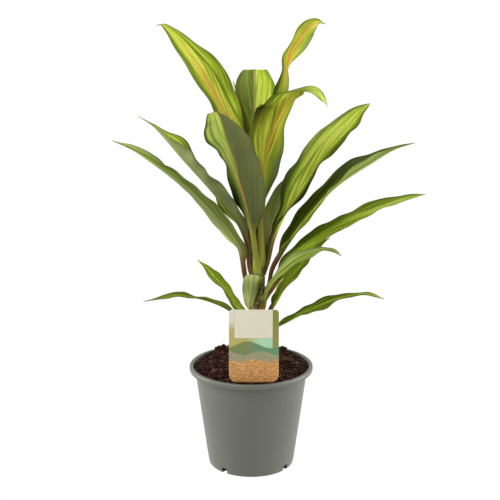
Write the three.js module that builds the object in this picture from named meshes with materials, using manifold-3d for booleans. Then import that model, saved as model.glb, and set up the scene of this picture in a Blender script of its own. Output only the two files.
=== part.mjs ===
// A young ti plant in its nursery pot: one cane, a spiral of long stalked leaves, soil and a stick-in label.
// Millimetres, +Z up. The origin is the centre of the pot's base, where it stands, and -Y is the front.
import * as THREE from "three";
import { mergeVertices } from "three/addons/utils/BufferGeometryUtils.js";
import Module from "manifold-3d";

const wasm = await Module();
wasm.setup();

// Running gap between pieces that touch on the real plant
const GAP = 0.3;

// Pot: a tapered wall with a rolled rim and four drainage notches in the base edge
const POT_HEIGHT = 100;
const POT_RIM_RADIUS = 60;
const POT_RIM_LIP = 4;
const POT_RIM_BAND = 6;
const POT_NECK_RADIUS = 54.3;
const POT_BASE_RADIUS = 41.7;
const POT_WALL = 1.6;
const POT_FLOOR = 2;
const POT_SIDES = 48;
const NOTCH_COUNT = 4;
const NOTCH_FIRST_BEARING = -38;
const NOTCH_WIDTH = 6.5;
const NOTCH_HEIGHT = 6;
const NOTCH_REACH = 6;

// Soil: fills the pot to just under the lip, a little higher and lumpier at the back
const SOIL_EDGE_HEIGHT = 96.6;
const SOIL_BACK_RISE = 2.6;
const SOIL_MOUND = 2.4;
const SOIL_TOP_RADIUS = 55;
const SOIL_RINGS = [0, 8, 16, 24, 31, 37, 43, 48, 52, 55];
const SOIL_SIDES = 40;

// Cane: [height, x, y, radius], straight between these
const CANE = [[20, 3, 1, 7.5], [95, 3, 1, 7.5], [150, 6.5, 0, 7.0], [208, 6.5, 1, 6.6]];
const CANE_SIDES = 16;
const CANE_RING_STEP = 7;
const CANE_SCAR_DEPTH = 0.35;
const CANE_HOLE_RADIUS = 8.1;

// Label: a thin rounded plate on a stake, standing in front of the cane
const LABEL_CENTRE_X = 2.5;
const LABEL_Y = -47;
const LABEL_WIDTH = 46;
const LABEL_TOP = 168.8;
const LABEL_BOTTOM = 98.8;
const LABEL_THICKNESS = 0.8;
const LABEL_TOP_CORNER = 3.5;
const LABEL_BOTTOM_CORNER = 7;
const STAKE_HALF_WIDTH = 6;
const STAKE_SHOULDER = 78;
const STAKE_TIP = 66;
const STAKE_TIP_HALF_WIDTH = 2;

// Leaves: blade and stalk thickness, and how finely they are divided
const BLADE_THICKNESS = 0.8;
const STALK_EXTRA = 0.9;
const MIDRIB_EXTRA = 0.7;
const LEAF_STEP = 10.5;
const LEAF_COLUMNS = [-1, -0.6, -0.17, 0, 0.17, 0.6, 1];
const BASE_CLEARANCE = 0.8;
const SPEAR_CLEARANCE = 0.5;
const STALK_HALF_WIDTH = 3.2;
const TIP_HALF_WIDTH = 0.4;
const NARROW_FROM = 0.8;
const NARROW_TO = 3;
const RISE_POWER = 0.75;
const RIGHT_EDGE_LAG = 1.9;

// Each leaf leaves the cane at a height and a compass bearing (degrees, 0 is +X, 90 is the back), and its
// upper face looks back to the cane along the direction it faces. Its spine is the midrib, its width is
// the widest part of the blade, stalk is the stalked share of its length, and taper is how fast the
// blade narrows to its tip. Roll turns the blade about its midrib and fold lifts its two halves, both in
// degrees at places along the leaf from 0 to 1. The edges ripple in so many waves of such a height. A nip
// is [place, half, length, share]: it narrows the right (1) or the left (-1) half of the blade by a share
// round that place, and a share below 0 widens it.
const LEAVES = [
  { name: "leaf_upper_left", height: 197, bearing: 153, faces: 140, width: 45,
    stalk: 0.2, taper: 0.9, waves: 3, ripple: 2, phase: 0.4,
    spine: [[-3, 11, 229], [-3, 20, 254], [-8, 32, 300], [-24, 42, 337], [-38, 50, 363], [-51, 56, 385],
      [-68, 61, 406], [-79, 64, 417], [-86, 67, 422], [-92, 71, 421]],
    roll: [[0.3, 0], [0.6, -1], [0.7, -15], [0.8, -7], [0.9, -13], [1, -10]],
    fold: [[0, 0], [0.08, 15], [0.25, 40], [0.5, 20], [0.6, 16], [0.7, 21], [0.85, 2], [1, 0]] },
  { name: "leaf_upper_right", height: 197, bearing: 45, faces: 45, width: 38,
    stalk: 0.24, taper: 0.8, waves: 3, ripple: 1.2, phase: 1,
    nips: [[0.85, 1, 0.06, 0.5], [0.76, 1, 0.035, -0.35], [0.81, -1, 0.05, 0.3]],
    spine: [[11, 10, 235], [12, 19, 259], [20, 27, 320], [28, 41, 354], [32, 45, 369], [34, 47, 380],
      [36, 48, 391], [40, 48, 401], [45, 46, 409], [50, 44, 415], [56, 41, 421], [63, 38, 424],
      [70, 34, 423]],
    roll: [[0.4, -10], [0.6, -24], [0.74, -33], [0.85, 30], [0.92, 42], [1, 30]],
    fold: [[0, 0], [0.08, 15], [0.25, 40], [0.5, 15], [0.62, 0], [0.8, 2], [0.86, -8], [0.94, 5],
      [1, 3]] },
  { name: "leaf_back_top", height: 204, bearing: 98, faces: 90, width: 44,
    stalk: 0.22, taper: 1.05, waves: 3, ripple: 1.2, phase: 0,
    nips: [[0.8, 1, 0.07, 0.3], [0.8, -1, 0.07, 0.3]],
    spine: [[4, 27, 237], [2, 42, 254], [2, 58, 302], [4, 73, 349], [4, 84, 368], [4, 98, 377],
      [4, 114, 374], [4, 128, 357], [5, 135, 336]],
    roll: [[1, 0]],
    fold: [[0, 0], [0.08, 15], [0.25, 40], [0.5, 22], [0.62, 12], [0.73, -8], [0.84, -10], [1, -5]] },
  { name: "leaf_front_arching", height: 199, bearing: -53, faces: -50, width: 48,
    stalk: 0.2, taper: 1.05, waves: 3, ripple: 1.6, phase: 3.1,
    nips: [[0.57, -1, 0.04, 0.1], [0.67, -1, 0.04, -0.25], [0.78, -1, 0.05, 0.3], [0.62, 1, 0.06, -0.12]],
    spine: [[9, -9, 248], [11, -12, 283], [13, -14, 306], [17, -15, 320], [22, -18, 335], [27, -23, 348],
      [32, -31, 358], [37, -41, 365], [43, -51, 368], [50, -61, 369], [57, -70, 367], [61, -77, 363],
      [64, -83, 357]],
    roll: [[0.2, 10], [0.32, 31], [0.5, 6], [0.65, 5], [0.7, 10], [0.75, 11], [0.8, -8], [0.9, -36],
      [1, -55]],
    fold: [[0, 0], [0.08, 15], [0.25, 18], [0.38, -3], [0.48, 0], [0.64, 18], [0.7, 4], [0.8, -8],
      [1, 0]] },
  { name: "leaf_front_centre", height: 192, bearing: -102, faces: -100, width: 44,
    stalk: 0.22, taper: 1.2, waves: 3, ripple: 1.2, phase: 0,
    nips: [[0.86, -1, 0.06, 0.45], [0.8, 1, 0.06, 0.3]],
    spine: [[-2, -24, 251], [-6, -29, 268], [-11, -34, 286], [-16, -39, 307], [-23, -43, 327],
      [-28, -41, 343], [-31, -33, 347], [-32, -20, 342], [-30, -7, 325]],
    roll: [[0.2, -5], [0.32, -22], [0.5, -22], [0.6, -12], [0.7, 4], [0.85, 12], [1, 10]],
    fold: [[0, 0], [0.08, 15], [0.22, 25], [0.35, 22], [0.55, 30], [0.65, 24], [0.75, 14], [0.85, 12],
      [1, 5]] },
  { name: "leaf_right_broad", height: 190, bearing: -2, faces: 25, width: 44,
    stalk: 0.2, taper: 0.85, waves: 3, ripple: 1.8, phase: 0.5,
    nips: [[0.31, 1, 0.08, 0.45]],
    spine: [[21, 10, 222], [32, 18, 245], [44, 25, 264], [56, 32, 281], [75, 42, 305], [91, 49, 322],
      [103, 54, 336], [116, 60, 347]],
    roll: [[0.3, 5], [0.5, 11], [0.6, 5], [0.7, 12], [0.85, 28], [1, 28]],
    fold: [[0, 0], [0.08, 15], [0.22, 35], [0.4, 18], [0.6, 22], [0.7, 18], [0.8, 25], [0.9, 15],
      [1, 5]] },
  { name: "leaf_right_second", height: 168, bearing: -8, faces: -5, width: 42,
    stalk: 0.22, taper: 1, waves: 3, ripple: 1.2, phase: 0,
    spine: [[20, -5, 196], [27, -6, 210], [36, -6, 224], [50, -6, 243], [70, -6, 267], [83, -6, 279],
      [96, -6, 288], [111, -4, 297], [133, -2, 310], [152, 0, 316]],
    roll: [[0.2, 15], [0.35, 18], [0.5, 12], [0.6, 9], [0.75, 3], [1, -3]],
    fold: [[0, 0], [0.08, 15], [0.2, 30], [0.35, 15], [0.5, 10], [0.6, 16], [0.7, 28], [0.85, 25],
      [1, 5]] },
  { name: "leaf_right_third", height: 157, bearing: -44, faces: -8, width: 38,
    stalk: 0.2, taper: 1.05, waves: 3, ripple: 1.2, phase: 0,
    spine: [[17, -8, 173], [29, -10, 199], [44, -12, 218], [60, -14, 231], [82, -17, 244],
      [100, -19, 253], [122, -21, 261], [142, -23, 268], [159, -25, 272]],
    roll: [[0.3, 14], [0.45, 9], [0.6, 13], [0.8, 15], [1, 18]],
    fold: [[0, 0], [0.08, 15], [0.2, 20], [0.35, -2], [0.5, 0], [0.7, 0], [0.8, 6], [1, 5]] },
  { name: "leaf_right_low_front", height: 147, bearing: -69, faces: -40, width: 36,
    stalk: 0.2, taper: 1, waves: 2, ripple: 1.2, phase: 0,
    spine: [[12, -24, 170], [17, -36, 188], [30, -50, 206], [42, -62, 219], [54, -70, 227],
      [65, -76, 232], [73, -80, 231], [78, -83, 228]],
    roll: [[0.3, 30], [0.4, 33], [0.6, 27], [0.82, 21], [0.92, -4], [1, -10]],
    fold: [[0, 0], [0.08, 15], [0.25, 12], [0.4, 1], [0.5, 6], [0.7, 0], [1, 0]] },
  { name: "leaf_right_lowest", height: 126, bearing: -35, faces: -20, width: 26,
    stalk: 0.22, taper: 1.05, waves: 2, ripple: 1, phase: 0,
    spine: [[22, -16, 143], [37, -22, 152], [55, -28, 163], [73, -32, 172], [87, -34, 177],
      [106, -37, 181], [122, -40, 177]],
    roll: [[0.3, 4], [0.5, 10], [0.6, 12], [0.7, 4], [1, -2]],
    fold: [[0, 0], [0.08, 15], [0.25, 14], [0.4, 12], [0.5, 3], [0.6, -3], [0.7, 3], [1, 0]] },
  { name: "leaf_low_back_right", height: 151, bearing: 55, faces: 45, width: 24,
    stalk: 0.25, taper: 1.05, waves: 2, ripple: 1, phase: 0,
    spine: [[28, 28, 177], [45, 42, 193], [64, 54, 208], [83, 62, 218], [99, 68, 223]],
    roll: [[1, 0]],
    fold: [[0, 0], [0.08, 15], [0.25, 35], [0.5, 15], [1, 10]] },
  { name: "leaf_low_right", height: 140, bearing: 4, faces: 5, width: 32,
    stalk: 0.2, taper: 1.05, waves: 2, ripple: 1.2, phase: 0,
    spine: [[19, 0, 156], [25, 1, 165], [36, 2, 183], [49, 4, 197], [59, 5, 210], [67, 6, 218],
      [75, 7, 224]],
    roll: [[0.2, 15], [0.3, 4], [0.6, 2], [0.7, 6], [0.8, -2], [1, -2]],
    fold: [[0, 0], [0.08, 15], [0.2, 35], [0.3, 12], [0.5, 4], [0.8, 4], [1, 4]] },
  { name: "leaf_left_long", height: 166, bearing: -165, faces: -165, width: 38,
    stalk: 0.2, taper: 1.05, waves: 3, ripple: 1.2, phase: 0,
    spine: [[-6, -9, 190], [-11, -14, 218], [-21, -17, 234], [-35, -20, 250], [-56, -26, 273],
      [-73, -30, 289], [-89, -34, 302], [-104, -37, 313], [-115, -39, 319], [-123, -41, 323]],
    roll: [[0.2, 15], [0.3, 22], [0.45, 18], [0.6, 15], [0.7, 5], [0.8, -4], [0.9, -15], [1, -15]],
    fold: [[0, 0], [0.08, 15], [0.2, 20], [0.3, 0], [0.45, 5], [0.6, 10], [0.7, 15], [0.8, 21], [0.9, 33],
      [1, 10]] },
  { name: "leaf_left_upper", height: 187, bearing: -160, faces: -172, width: 42,
    stalk: 0.22, taper: 1.05, waves: 3, ripple: 1.2, phase: 0,
    spine: [[-4, -3, 221], [-12, -3, 240], [-24, -3, 255], [-35, -4, 269], [-48, -4, 284], [-63, -5, 301],
      [-79, -5, 320], [-90, -6, 332], [-103, -6, 341]],
    roll: [[0.2, 20], [0.35, 28], [0.5, 13], [0.6, 2], [0.7, -3], [0.76, -13], [0.9, -3], [1, 0]],
    fold: [[0, 0], [0.08, 15], [0.2, 12], [0.35, 7], [0.5, 14], [0.65, 26], [0.76, 40], [0.85, 21],
      [1, 5]] },
  { name: "leaf_left_small", height: 129, bearing: 155, faces: 165, width: 22,
    stalk: 0.2, taper: 1.05, waves: 2, ripple: 1, phase: 0,
    spine: [[-6, 6, 146], [-15, 8, 159], [-24, 11, 172], [-38, 14, 186], [-52, 18, 200]],
    roll: [[0.4, -3], [0.7, -3], [0.8, -12], [1, -12]],
    fold: [[0, 0], [0.08, 15], [0.2, 15], [0.35, -4], [0.6, 2], [0.75, 5], [0.9, 20], [1, 10]] },
  { name: "leaf_left_lowest", height: 122, bearing: -140, faces: -160, width: 22,
    stalk: 0.2, taper: 1.05, waves: 2, ripple: 1, phase: 0,
    spine: [[-12, -13, 150], [-21, -17, 160], [-41, -24, 171], [-57, -29, 176], [-70, -33, 178],
      [-86, -37, 176], [-99, -41, 175]],
    roll: [[0.4, -3], [0.6, 5], [0.7, 0], [1, 0]],
    fold: [[0, 0], [0.08, 15], [0.2, 15], [0.4, 9], [0.5, 5], [0.6, -2], [0.7, 1], [0.8, 11], [1, 5]] },
  { name: "leaf_front_short", height: 139, bearing: -114, faces: -95, width: 18,
    stalk: 0.28, taper: 0.6, waves: 1, ripple: 0.5, phase: 0,
    spine: [[-1, -17, 164], [0, -21, 176], [1, -25, 186], [2, -26, 192], [3, -22, 195], [3, -17, 193],
      [3, -13, 188]],
    roll: [[0.3, 8], [0.6, 8], [1, 4]],
    fold: [[0, 0], [0.08, 15], [0.2, 25], [0.4, 18], [0.6, 8], [0.8, 4], [1, 2]] },
  { name: "leaf_young_spear", height: 208, bearing: 120, faces: 120, width: 13,
    stalk: 0.1, taper: 1.05, waves: 2, ripple: 0.3, phase: 0, fromTop: true,
    spine: [[3, 7, 246], [-2, 10, 298], [-7, 14, 336], [-12, 18, 356], [-17, 22, 371]],
    roll: [[1, 0]],
    fold: [[0, 0], [0.08, 30], [0.25, 50], [0.8, 45], [1, 20]] },
  { name: "leaf_back_right", height: 178, bearing: 80, faces: 55, width: 26,
    stalk: 0.22, taper: 1.05, waves: 2, ripple: 1, phase: 0,
    spine: [[14, 16, 192], [21, 38, 233], [31, 50, 257], [47, 60, 279], [65, 68, 298]],
    roll: [[0.3, -10], [1, -10]],
    fold: [[0, 0], [0.08, 15], [0.25, 25], [0.4, 6], [1, 5]] },
];

// Finishes
const POT_FINISH = new THREE.MeshStandardMaterial({ color: 0x70716a, roughness: 0.5, metalness: 0 });
const SOIL_FINISH = new THREE.MeshStandardMaterial({ color: 0x2c1a14, roughness: 0.95, metalness: 0 });
const CANE_FINISH = new THREE.MeshStandardMaterial({ color: 0x5a4a2c, roughness: 0.8, metalness: 0 });
const LABEL_FINISH = new THREE.MeshStandardMaterial({ color: 0xd9d6bf, roughness: 0.45, metalness: 0 });
const LEAF_FINISH = new THREE.MeshStandardMaterial({ color: 0x7c9a2e, roughness: 0.45, metalness: 0 });

const radians = THREE.MathUtils.degToRad;

// A value at place t between [place, value] keys, eased by a cosine from each key to the next
function eased(keys, t) {
  const next = keys.findIndex(([place]) => place > t);
  if (next === 0) return keys[0][1];
  if (next < 0) return keys[keys.length - 1][1];
  const [placeA, valueA] = keys[next - 1];
  const [placeB, valueB] = keys[next];
  const share = 0.5 - 0.5 * Math.cos(Math.PI * (t - placeA) / (placeB - placeA));
  return valueA + (valueB - valueA) * share;
}

// The cane's centre and radius at a height, straight between its listed sections
function caneAt(height) {
  const last = CANE.length - 2;
  let i = 0;
  while (i < last && height > CANE[i + 1][0]) i += 1;
  const share = THREE.MathUtils.clamp((height - CANE[i][0]) / (CANE[i + 1][0] - CANE[i][0]), 0, 1);
  const [, x, y, radius] = CANE[i].map((value, k) => value + (CANE[i + 1][k] - value) * share);
  return { x, y, radius };
}

// One closed mesh from a list of corner points and a list of triangles
function meshFrom(points, triangles) {
  const geometry = new THREE.BufferGeometry();
  geometry.setAttribute("position", new THREE.Float32BufferAttribute(points.flatMap((p) => p.toArray()), 3));
  geometry.setIndex(triangles.flat());
  return geometry;
}

// A closed tube through rings of points, all with the same count, with a flat fan on each end
function tubeThrough(rings) {
  const sides = rings[0].length;
  const points = rings.flat();
  const middle = (ring) => ring.reduce((sum, p) => sum.add(p), new THREE.Vector3()).divideScalar(sides);
  const bottom = points.push(middle(rings[0])) - 1;
  const top = points.push(middle(rings[rings.length - 1])) - 1;
  const triangles = [];
  const lastRing = (rings.length - 1) * sides;
  for (let j = 0; j < sides; j += 1) {
    const k = (j + 1) % sides;
    triangles.push([bottom, k, j], [top, lastRing + j, lastRing + k]);
    for (let i = 0; i < lastRing; i += sides) {
      triangles.push([i + j, i + k, i + sides + k], [i + j, i + sides + k, i + sides + j]);
    }
  }
  return meshFrom(points, triangles);
}

// A closed mesh as a solid that can be cut, and back again
function toSolid(geometry) {
  const bare = geometry.clone();
  bare.deleteAttribute("normal");
  bare.deleteAttribute("uv");
  const merged = mergeVertices(bare, 1e-4);
  const vertProperties = Float32Array.from(merged.attributes.position.array);
  const triVerts = Uint32Array.from(merged.index.array);
  return new wasm.Manifold(new wasm.Mesh({ numProp: 3, vertProperties, triVerts }));
}

function fromSolid(solid) {
  const mesh = solid.getMesh();
  const geometry = new THREE.BufferGeometry();
  geometry.setAttribute("position", new THREE.BufferAttribute(Float32Array.from(mesh.vertProperties), 3));
  geometry.setIndex(new THREE.BufferAttribute(Uint32Array.from(mesh.triVerts), 1));
  return geometry;
}

// The pot's outer and inner wall radius at a height below its rim
function potWallRadius(height) {
  const neck = POT_HEIGHT - POT_RIM_BAND;
  return POT_BASE_RADIUS + (POT_NECK_RADIUS - POT_BASE_RADIUS) * height / neck;
}

// The pot turned about its axis: base, tapered wall, rolled rim, inner wall and floor
function potGeometry() {
  const neck = POT_HEIGHT - POT_RIM_BAND;
  const lip = POT_RIM_RADIUS - POT_RIM_LIP;
  const inside = (height) => potWallRadius(height) - POT_WALL;
  const profile = [
    [0, 0], [POT_BASE_RADIUS - 2, 0], [POT_BASE_RADIUS - 0.6, 0.5], [potWallRadius(2), 2],
    [potWallRadius(neck - 0.8), neck - 0.8], [POT_NECK_RADIUS + 0.6, neck], [POT_RIM_RADIUS - 0.8, neck],
    [POT_RIM_RADIUS, neck + 0.8], [POT_RIM_RADIUS, POT_HEIGHT - 1.4], [POT_RIM_RADIUS - 0.4, POT_HEIGHT - 0.4],
    [POT_RIM_RADIUS - 1.3, POT_HEIGHT], [lip + 1.1, POT_HEIGHT], [lip + 0.3, POT_HEIGHT - 0.4],
    [lip, POT_HEIGHT - 1.2], [lip - 0.4, neck + 1.5], [inside(neck - 2), neck - 2],
    [inside(POT_FLOOR + 1), POT_FLOOR + 1], [inside(POT_FLOOR) - 1, POT_FLOOR], [0, POT_FLOOR],
  ];
  const turned = new THREE.LatheGeometry(profile.map(([r, z]) => new THREE.Vector2(r, z)), POT_SIDES);
  turned.rotateX(Math.PI / 2);
  let solid = toSolid(turned);
  for (let i = 0; i < NOTCH_COUNT; i += 1) {
    const notch = new THREE.BoxGeometry(NOTCH_WIDTH, 2 * NOTCH_REACH, 2 * NOTCH_HEIGHT);
    notch.translate(0, -POT_BASE_RADIUS, 0);
    notch.rotateZ(radians(NOTCH_FIRST_BEARING + i * 360 / NOTCH_COUNT));
    solid = solid.subtract(toSolid(notch));
  }
  return fromSolid(solid);
}

// Soil surface: a low mound that rises to the back, with lumps that fade out at the pot wall
function soilHeight(x, y) {
  const r = Math.hypot(x, y) / SOIL_TOP_RADIUS;
  const lumps = 1.5 * Math.sin(x / 5.1 + 0.6) * Math.sin(y / 4.3 + 1.1)
    + 1.1 * Math.sin((x + y) / 7.7 + 2.0) + 0.8 * Math.sin((x - 2 * y) / 9.1 + 0.4);
  const back = SOIL_BACK_RISE * (0.5 + 0.5 * y / SOIL_TOP_RADIUS);
  const heap = 3.2 * Math.exp(-((x + 21) ** 2 + (y - 42) ** 2) / 60)
    + 3.4 * Math.exp(-((x - 30) ** 2 + (y - 38) ** 2) / 70);
  return SOIL_EDGE_HEIGHT + back + SOIL_MOUND * (1 - r * r) + lumps * (1 - r ** 6) + heap * (1 - r ** 8);
}

// The soil fills the pot: a lumpy top on rings, the pot's inner shape less a gap, a hole and a slot
function soilGeometry() {
  const inside = (height) => potWallRadius(height) - POT_WALL - GAP;
  const neck = POT_HEIGHT - POT_RIM_BAND;
  const ringOf = (radius, heightAt) => Array.from({ length: SOIL_SIDES }, (_, k) => {
    const turn = 2 * Math.PI * k / SOIL_SIDES;
    const x = radius * Math.cos(turn);
    const y = radius * Math.sin(turn);
    return new THREE.Vector3(x, y, heightAt(x, y));
  });
  const floor = POT_FLOOR + GAP;
  const lower = [[inside(floor) - 1, floor], [inside(floor + 1), floor + 1], [inside(neck - 2), neck - 2],
    [SOIL_TOP_RADIUS, neck + 1.4]];
  const rings = lower.map(([radius, height]) => ringOf(radius, () => height));
  for (const radius of SOIL_RINGS.slice(1).reverse()) rings.push(ringOf(radius, soilHeight));
  let solid = toSolid(tubeThrough(rings));
  const hole = new THREE.CylinderGeometry(CANE_HOLE_RADIUS, CANE_HOLE_RADIUS, 2 * POT_HEIGHT, 24);
  hole.rotateX(Math.PI / 2);
  hole.translate(CANE[0][1], CANE[0][2], POT_HEIGHT + CANE[0][0] - GAP);
  const slot = uprightPlate(labelOutline(GAP), LABEL_THICKNESS + 2 * GAP);
  solid = solid.subtract(toSolid(hole)).subtract(toSolid(slot));
  return fromSolid(solid);
}

// The cane: round rings up its centre line, drawn in a little at every second ring as leaf scars
function caneGeometry() {
  const bottom = CANE[0][0];
  const top = CANE[CANE.length - 1][0];
  const steps = Math.round((top - bottom) / CANE_RING_STEP);
  const rings = [];
  for (let i = 0; i <= steps; i += 1) {
    const height = bottom + (top - bottom) * i / steps;
    const { x, y, radius } = caneAt(height);
    const drawn = radius - (i % 2) * CANE_SCAR_DEPTH;
    rings.push(Array.from({ length: CANE_SIDES }, (_, k) => {
      const turn = 2 * Math.PI * k / CANE_SIDES;
      return new THREE.Vector3(x + drawn * Math.cos(turn), y + drawn * Math.sin(turn), height);
    }));
  }
  return tubeThrough(rings);
}

// The label's outline seen from the front, x across and y up, grown by a margin on every side
function labelOutline(margin = 0) {
  const half = LABEL_WIDTH / 2 + margin;
  const top = LABEL_TOP + margin;
  const bottom = LABEL_BOTTOM - margin;
  const stake = STAKE_HALF_WIDTH + margin;
  const tip = STAKE_TIP_HALF_WIDTH + margin;
  const large = LABEL_BOTTOM_CORNER;
  const small = LABEL_TOP_CORNER;
  const quarter = Math.PI / 2;
  const shape = new THREE.Shape();
  shape.moveTo(-tip, STAKE_TIP - margin);
  shape.lineTo(tip, STAKE_TIP - margin);
  shape.lineTo(stake, STAKE_SHOULDER);
  shape.lineTo(stake, bottom);
  shape.absarc(half - large, bottom + large, large, -quarter, 0);
  shape.absarc(half - small, top - small, small, 0, quarter);
  shape.absarc(small - half, top - small, small, quarter, 2 * quarter);
  shape.absarc(large - half, bottom + large, large, 2 * quarter, 3 * quarter);
  shape.lineTo(-stake, bottom);
  shape.lineTo(-stake, STAKE_SHOULDER);
  shape.closePath();
  return shape;
}

// A plate of that outline, standing upright where the label is
function uprightPlate(shape, thickness) {
  const plate = new THREE.ExtrudeGeometry(shape, { depth: thickness, bevelEnabled: false, curveSegments: 5 });
  plate.translate(0, 0, -thickness / 2);
  plate.rotateX(Math.PI / 2);
  plate.translate(LABEL_CENTRE_X, LABEL_Y, 0);
  return plate;
}

// The midrib of a leaf, from the cane outwards, as a smooth curve
function midribOf(leaf) {
  const { x, y, radius } = caneAt(leaf.height);
  const heading = radians(leaf.bearing);
  const out = new THREE.Vector3(Math.cos(heading), Math.sin(heading), 0);
  const points = leaf.spine.map((p) => new THREE.Vector3(...p));
  if (leaf.fromTop) {
    points.unshift(new THREE.Vector3(x, y, leaf.height + SPEAR_CLEARANCE));
  } else {
    const base = new THREE.Vector3(x, y, leaf.height).addScaledVector(out, radius + BASE_CLEARANCE);
    const lean = leaf.height > 190 ? 1.5 : leaf.height > 186 ? 2.5 : 3;
    const second = base.clone().addScaledVector(out, lean).add(new THREE.Vector3(0, 0, 9));
    points.unshift(base, second);
  }
  return new THREE.CatmullRomCurve3(points, false, "centripetal");
}

// How far the blade's edge is from the midrib: a blade that swells and tapers, over a slim stalk
function halfWidthAt(leaf, t) {
  const u = THREE.MathUtils.clamp((t - leaf.stalk) / (1 - leaf.stalk), 0, 1);
  const widest = RISE_POWER / (RISE_POWER + leaf.taper);
  const blade = leaf.width / 2 * (u / widest) ** RISE_POWER * ((1 - u) / (1 - widest)) ** leaf.taper;
  const stalk = eased([[0, 3], [0.35 * leaf.stalk, STALK_HALF_WIDTH], [leaf.stalk, STALK_HALF_WIDTH],
    [Math.min(1, leaf.stalk + 0.5), 1.5], [1, TIP_HALF_WIDTH]], t);
  return Math.hypot(blade, stalk);
}

// The share of the half width that the nips leave at place t, on the side that q is on
function trimAt(leaf, t, q) {
  return (leaf.nips ?? []).reduce((left, [place, half, length, share]) => (
    q * half > 0 ? left - share * Math.exp(-(((t - place) / length) ** 2)) : left), 1);
}

// Where the midrib is at place t, and the directions across the leaf and up from its upper face
function leafFrame(leaf, midrib, t) {
  const along = midrib.getTangentAt(t);
  const faces = radians(leaf.faces);
  const level = new THREE.Vector3(-Math.sin(faces), Math.cos(faces), 0);
  const side = level.addScaledVector(along, -level.dot(along)).normalize();
  const upper = new THREE.Vector3().crossVectors(along, side);
  const turn = leaf.fromTop ? 0 : THREE.MathUtils.euclideanModulo(leaf.bearing - leaf.faces + 180, 360) - 180;
  const roll = radians(eased([[0, turn], ...leaf.roll], t));
  const across = side.clone().multiplyScalar(Math.cos(roll)).addScaledVector(upper, Math.sin(roll));
  const lift = upper.clone().multiplyScalar(Math.cos(roll)).addScaledVector(side, -Math.sin(roll));
  return { point: midrib.getPointAt(t), across, lift };
}

// The middle of the leaf at place t along it and q across it, from -1 on one edge to 1 on the other.
// Each half leaves the midrib at the fold angle and curls up along a circle, so the stalk is a channel,
// and the edge ripples with the square of q.
function leafPoint(leaf, frame, t, q) {
  const half = halfWidthAt(leaf, t) * trimAt(leaf, t, q);
  const fold = radians(eased(leaf.fold, t));
  const curl = radians(eased([[0, 22], [0.5 * leaf.stalk, 50], [leaf.stalk, 40], [leaf.stalk + 0.12, 8],
    [1, 8]], t));
  const reach = Math.abs(q);
  const sideways = half * (Math.sin(fold + curl * reach) - Math.sin(fold)) / curl * Math.sign(q);
  let upwards = half * (Math.cos(fold) - Math.cos(fold + curl * reach)) / curl;
  const u = THREE.MathUtils.clamp((t - leaf.stalk) / (1 - leaf.stalk), 0, 1);
  const swell = Math.max(0, Math.sin(Math.PI * u)) ** 0.7;
  const wave = 2 * Math.PI * leaf.waves * u + leaf.phase + (q >= 0 ? RIGHT_EDGE_LAG : 0);
  upwards += leaf.ripple * swell * reach ** 2 * Math.sin(wave);
  return frame.point.clone().addScaledVector(frame.across, sideways).addScaledVector(frame.lift, upwards);
}

// One leaf as a closed solid: the same grid of points lifted off the middle to both faces, split into
// triangles alike, and closed along the edges and at both ends. The stalk and the midrib are thicker below,
// and towards the narrow tip both faces are lifted straight up, so that they don't cross in the fold.
function leafGeometry(leaf) {
  const midrib = midribOf(leaf);
  const rows = Math.max(8, Math.round(midrib.getLength() / LEAF_STEP));
  const columns = LEAF_COLUMNS.length;
  const frames = Array.from({ length: rows + 1 }, (_, i) => leafFrame(leaf, midrib, i / rows));
  const middle = frames.map((frame, i) => LEAF_COLUMNS.map((q) => leafPoint(leaf, frame, i / rows, q)));
  const upper = [];
  const lower = [];
  for (let i = 0; i <= rows; i += 1) {
    const t = i / rows;
    const stalk = eased([[0, 0], [0.7 * leaf.stalk, STALK_EXTRA], [leaf.stalk + 0.2, 0]], t);
    const rib = eased([[0, 0], [leaf.stalk, MIDRIB_EXTRA], [1, 0]], t);
    const narrow = 1 - THREE.MathUtils.smoothstep(halfWidthAt(leaf, t), NARROW_FROM, NARROW_TO);
    for (let j = 0; j < columns; j += 1) {
      const along = middle[Math.min(i + 1, rows)][j].clone().sub(middle[Math.max(i - 1, 0)][j]);
      const across = middle[i][Math.min(j + 1, columns - 1)].clone().sub(middle[i][Math.max(j - 1, 0)]);
      const normal = along.cross(across).normalize().lerp(frames[i].lift, narrow).normalize();
      const q = LEAF_COLUMNS[j];
      const below = BLADE_THICKNESS / 2 + stalk * (1 - 0.6 * q * q) + (q === 0 ? rib : 0);
      upper.push(middle[i][j].clone().addScaledVector(normal, BLADE_THICKNESS / 2));
      lower.push(middle[i][j].clone().addScaledVector(normal, -below));
    }
  }
  const back = upper.length;
  const triangles = [];
  for (let i = 0; i < rows; i += 1) {
    for (let j = 0; j < columns - 1; j += 1) {
      const a = i * columns + j;
      const b = a + columns;
      triangles.push([a, b, b + 1], [a, b + 1, a + 1]);
      triangles.push([back + a, back + b + 1, back + b], [back + a, back + a + 1, back + b + 1]);
    }
    const left = i * columns;
    const right = left + columns - 1;
    triangles.push([left, back + left + columns, left + columns], [left, back + left, back + left + columns]);
    const beyond = back + right + columns;
    triangles.push([right, right + columns, beyond], [right, beyond, back + right]);
  }
  const tip = rows * columns;
  for (let j = 0; j < columns - 1; j += 1) {
    triangles.push([j, j + 1, back + j + 1], [j, back + j + 1, back + j]);
    triangles.push([tip + j, back + tip + j + 1, tip + j + 1], [tip + j, back + tip + j, back + tip + j + 1]);
  }
  return meshFrom([...upper, ...lower], triangles);
}

function named(name, geometry, finish) {
  const mesh = new THREE.Mesh(geometry, finish);
  mesh.name = name;
  return mesh;
}

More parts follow.
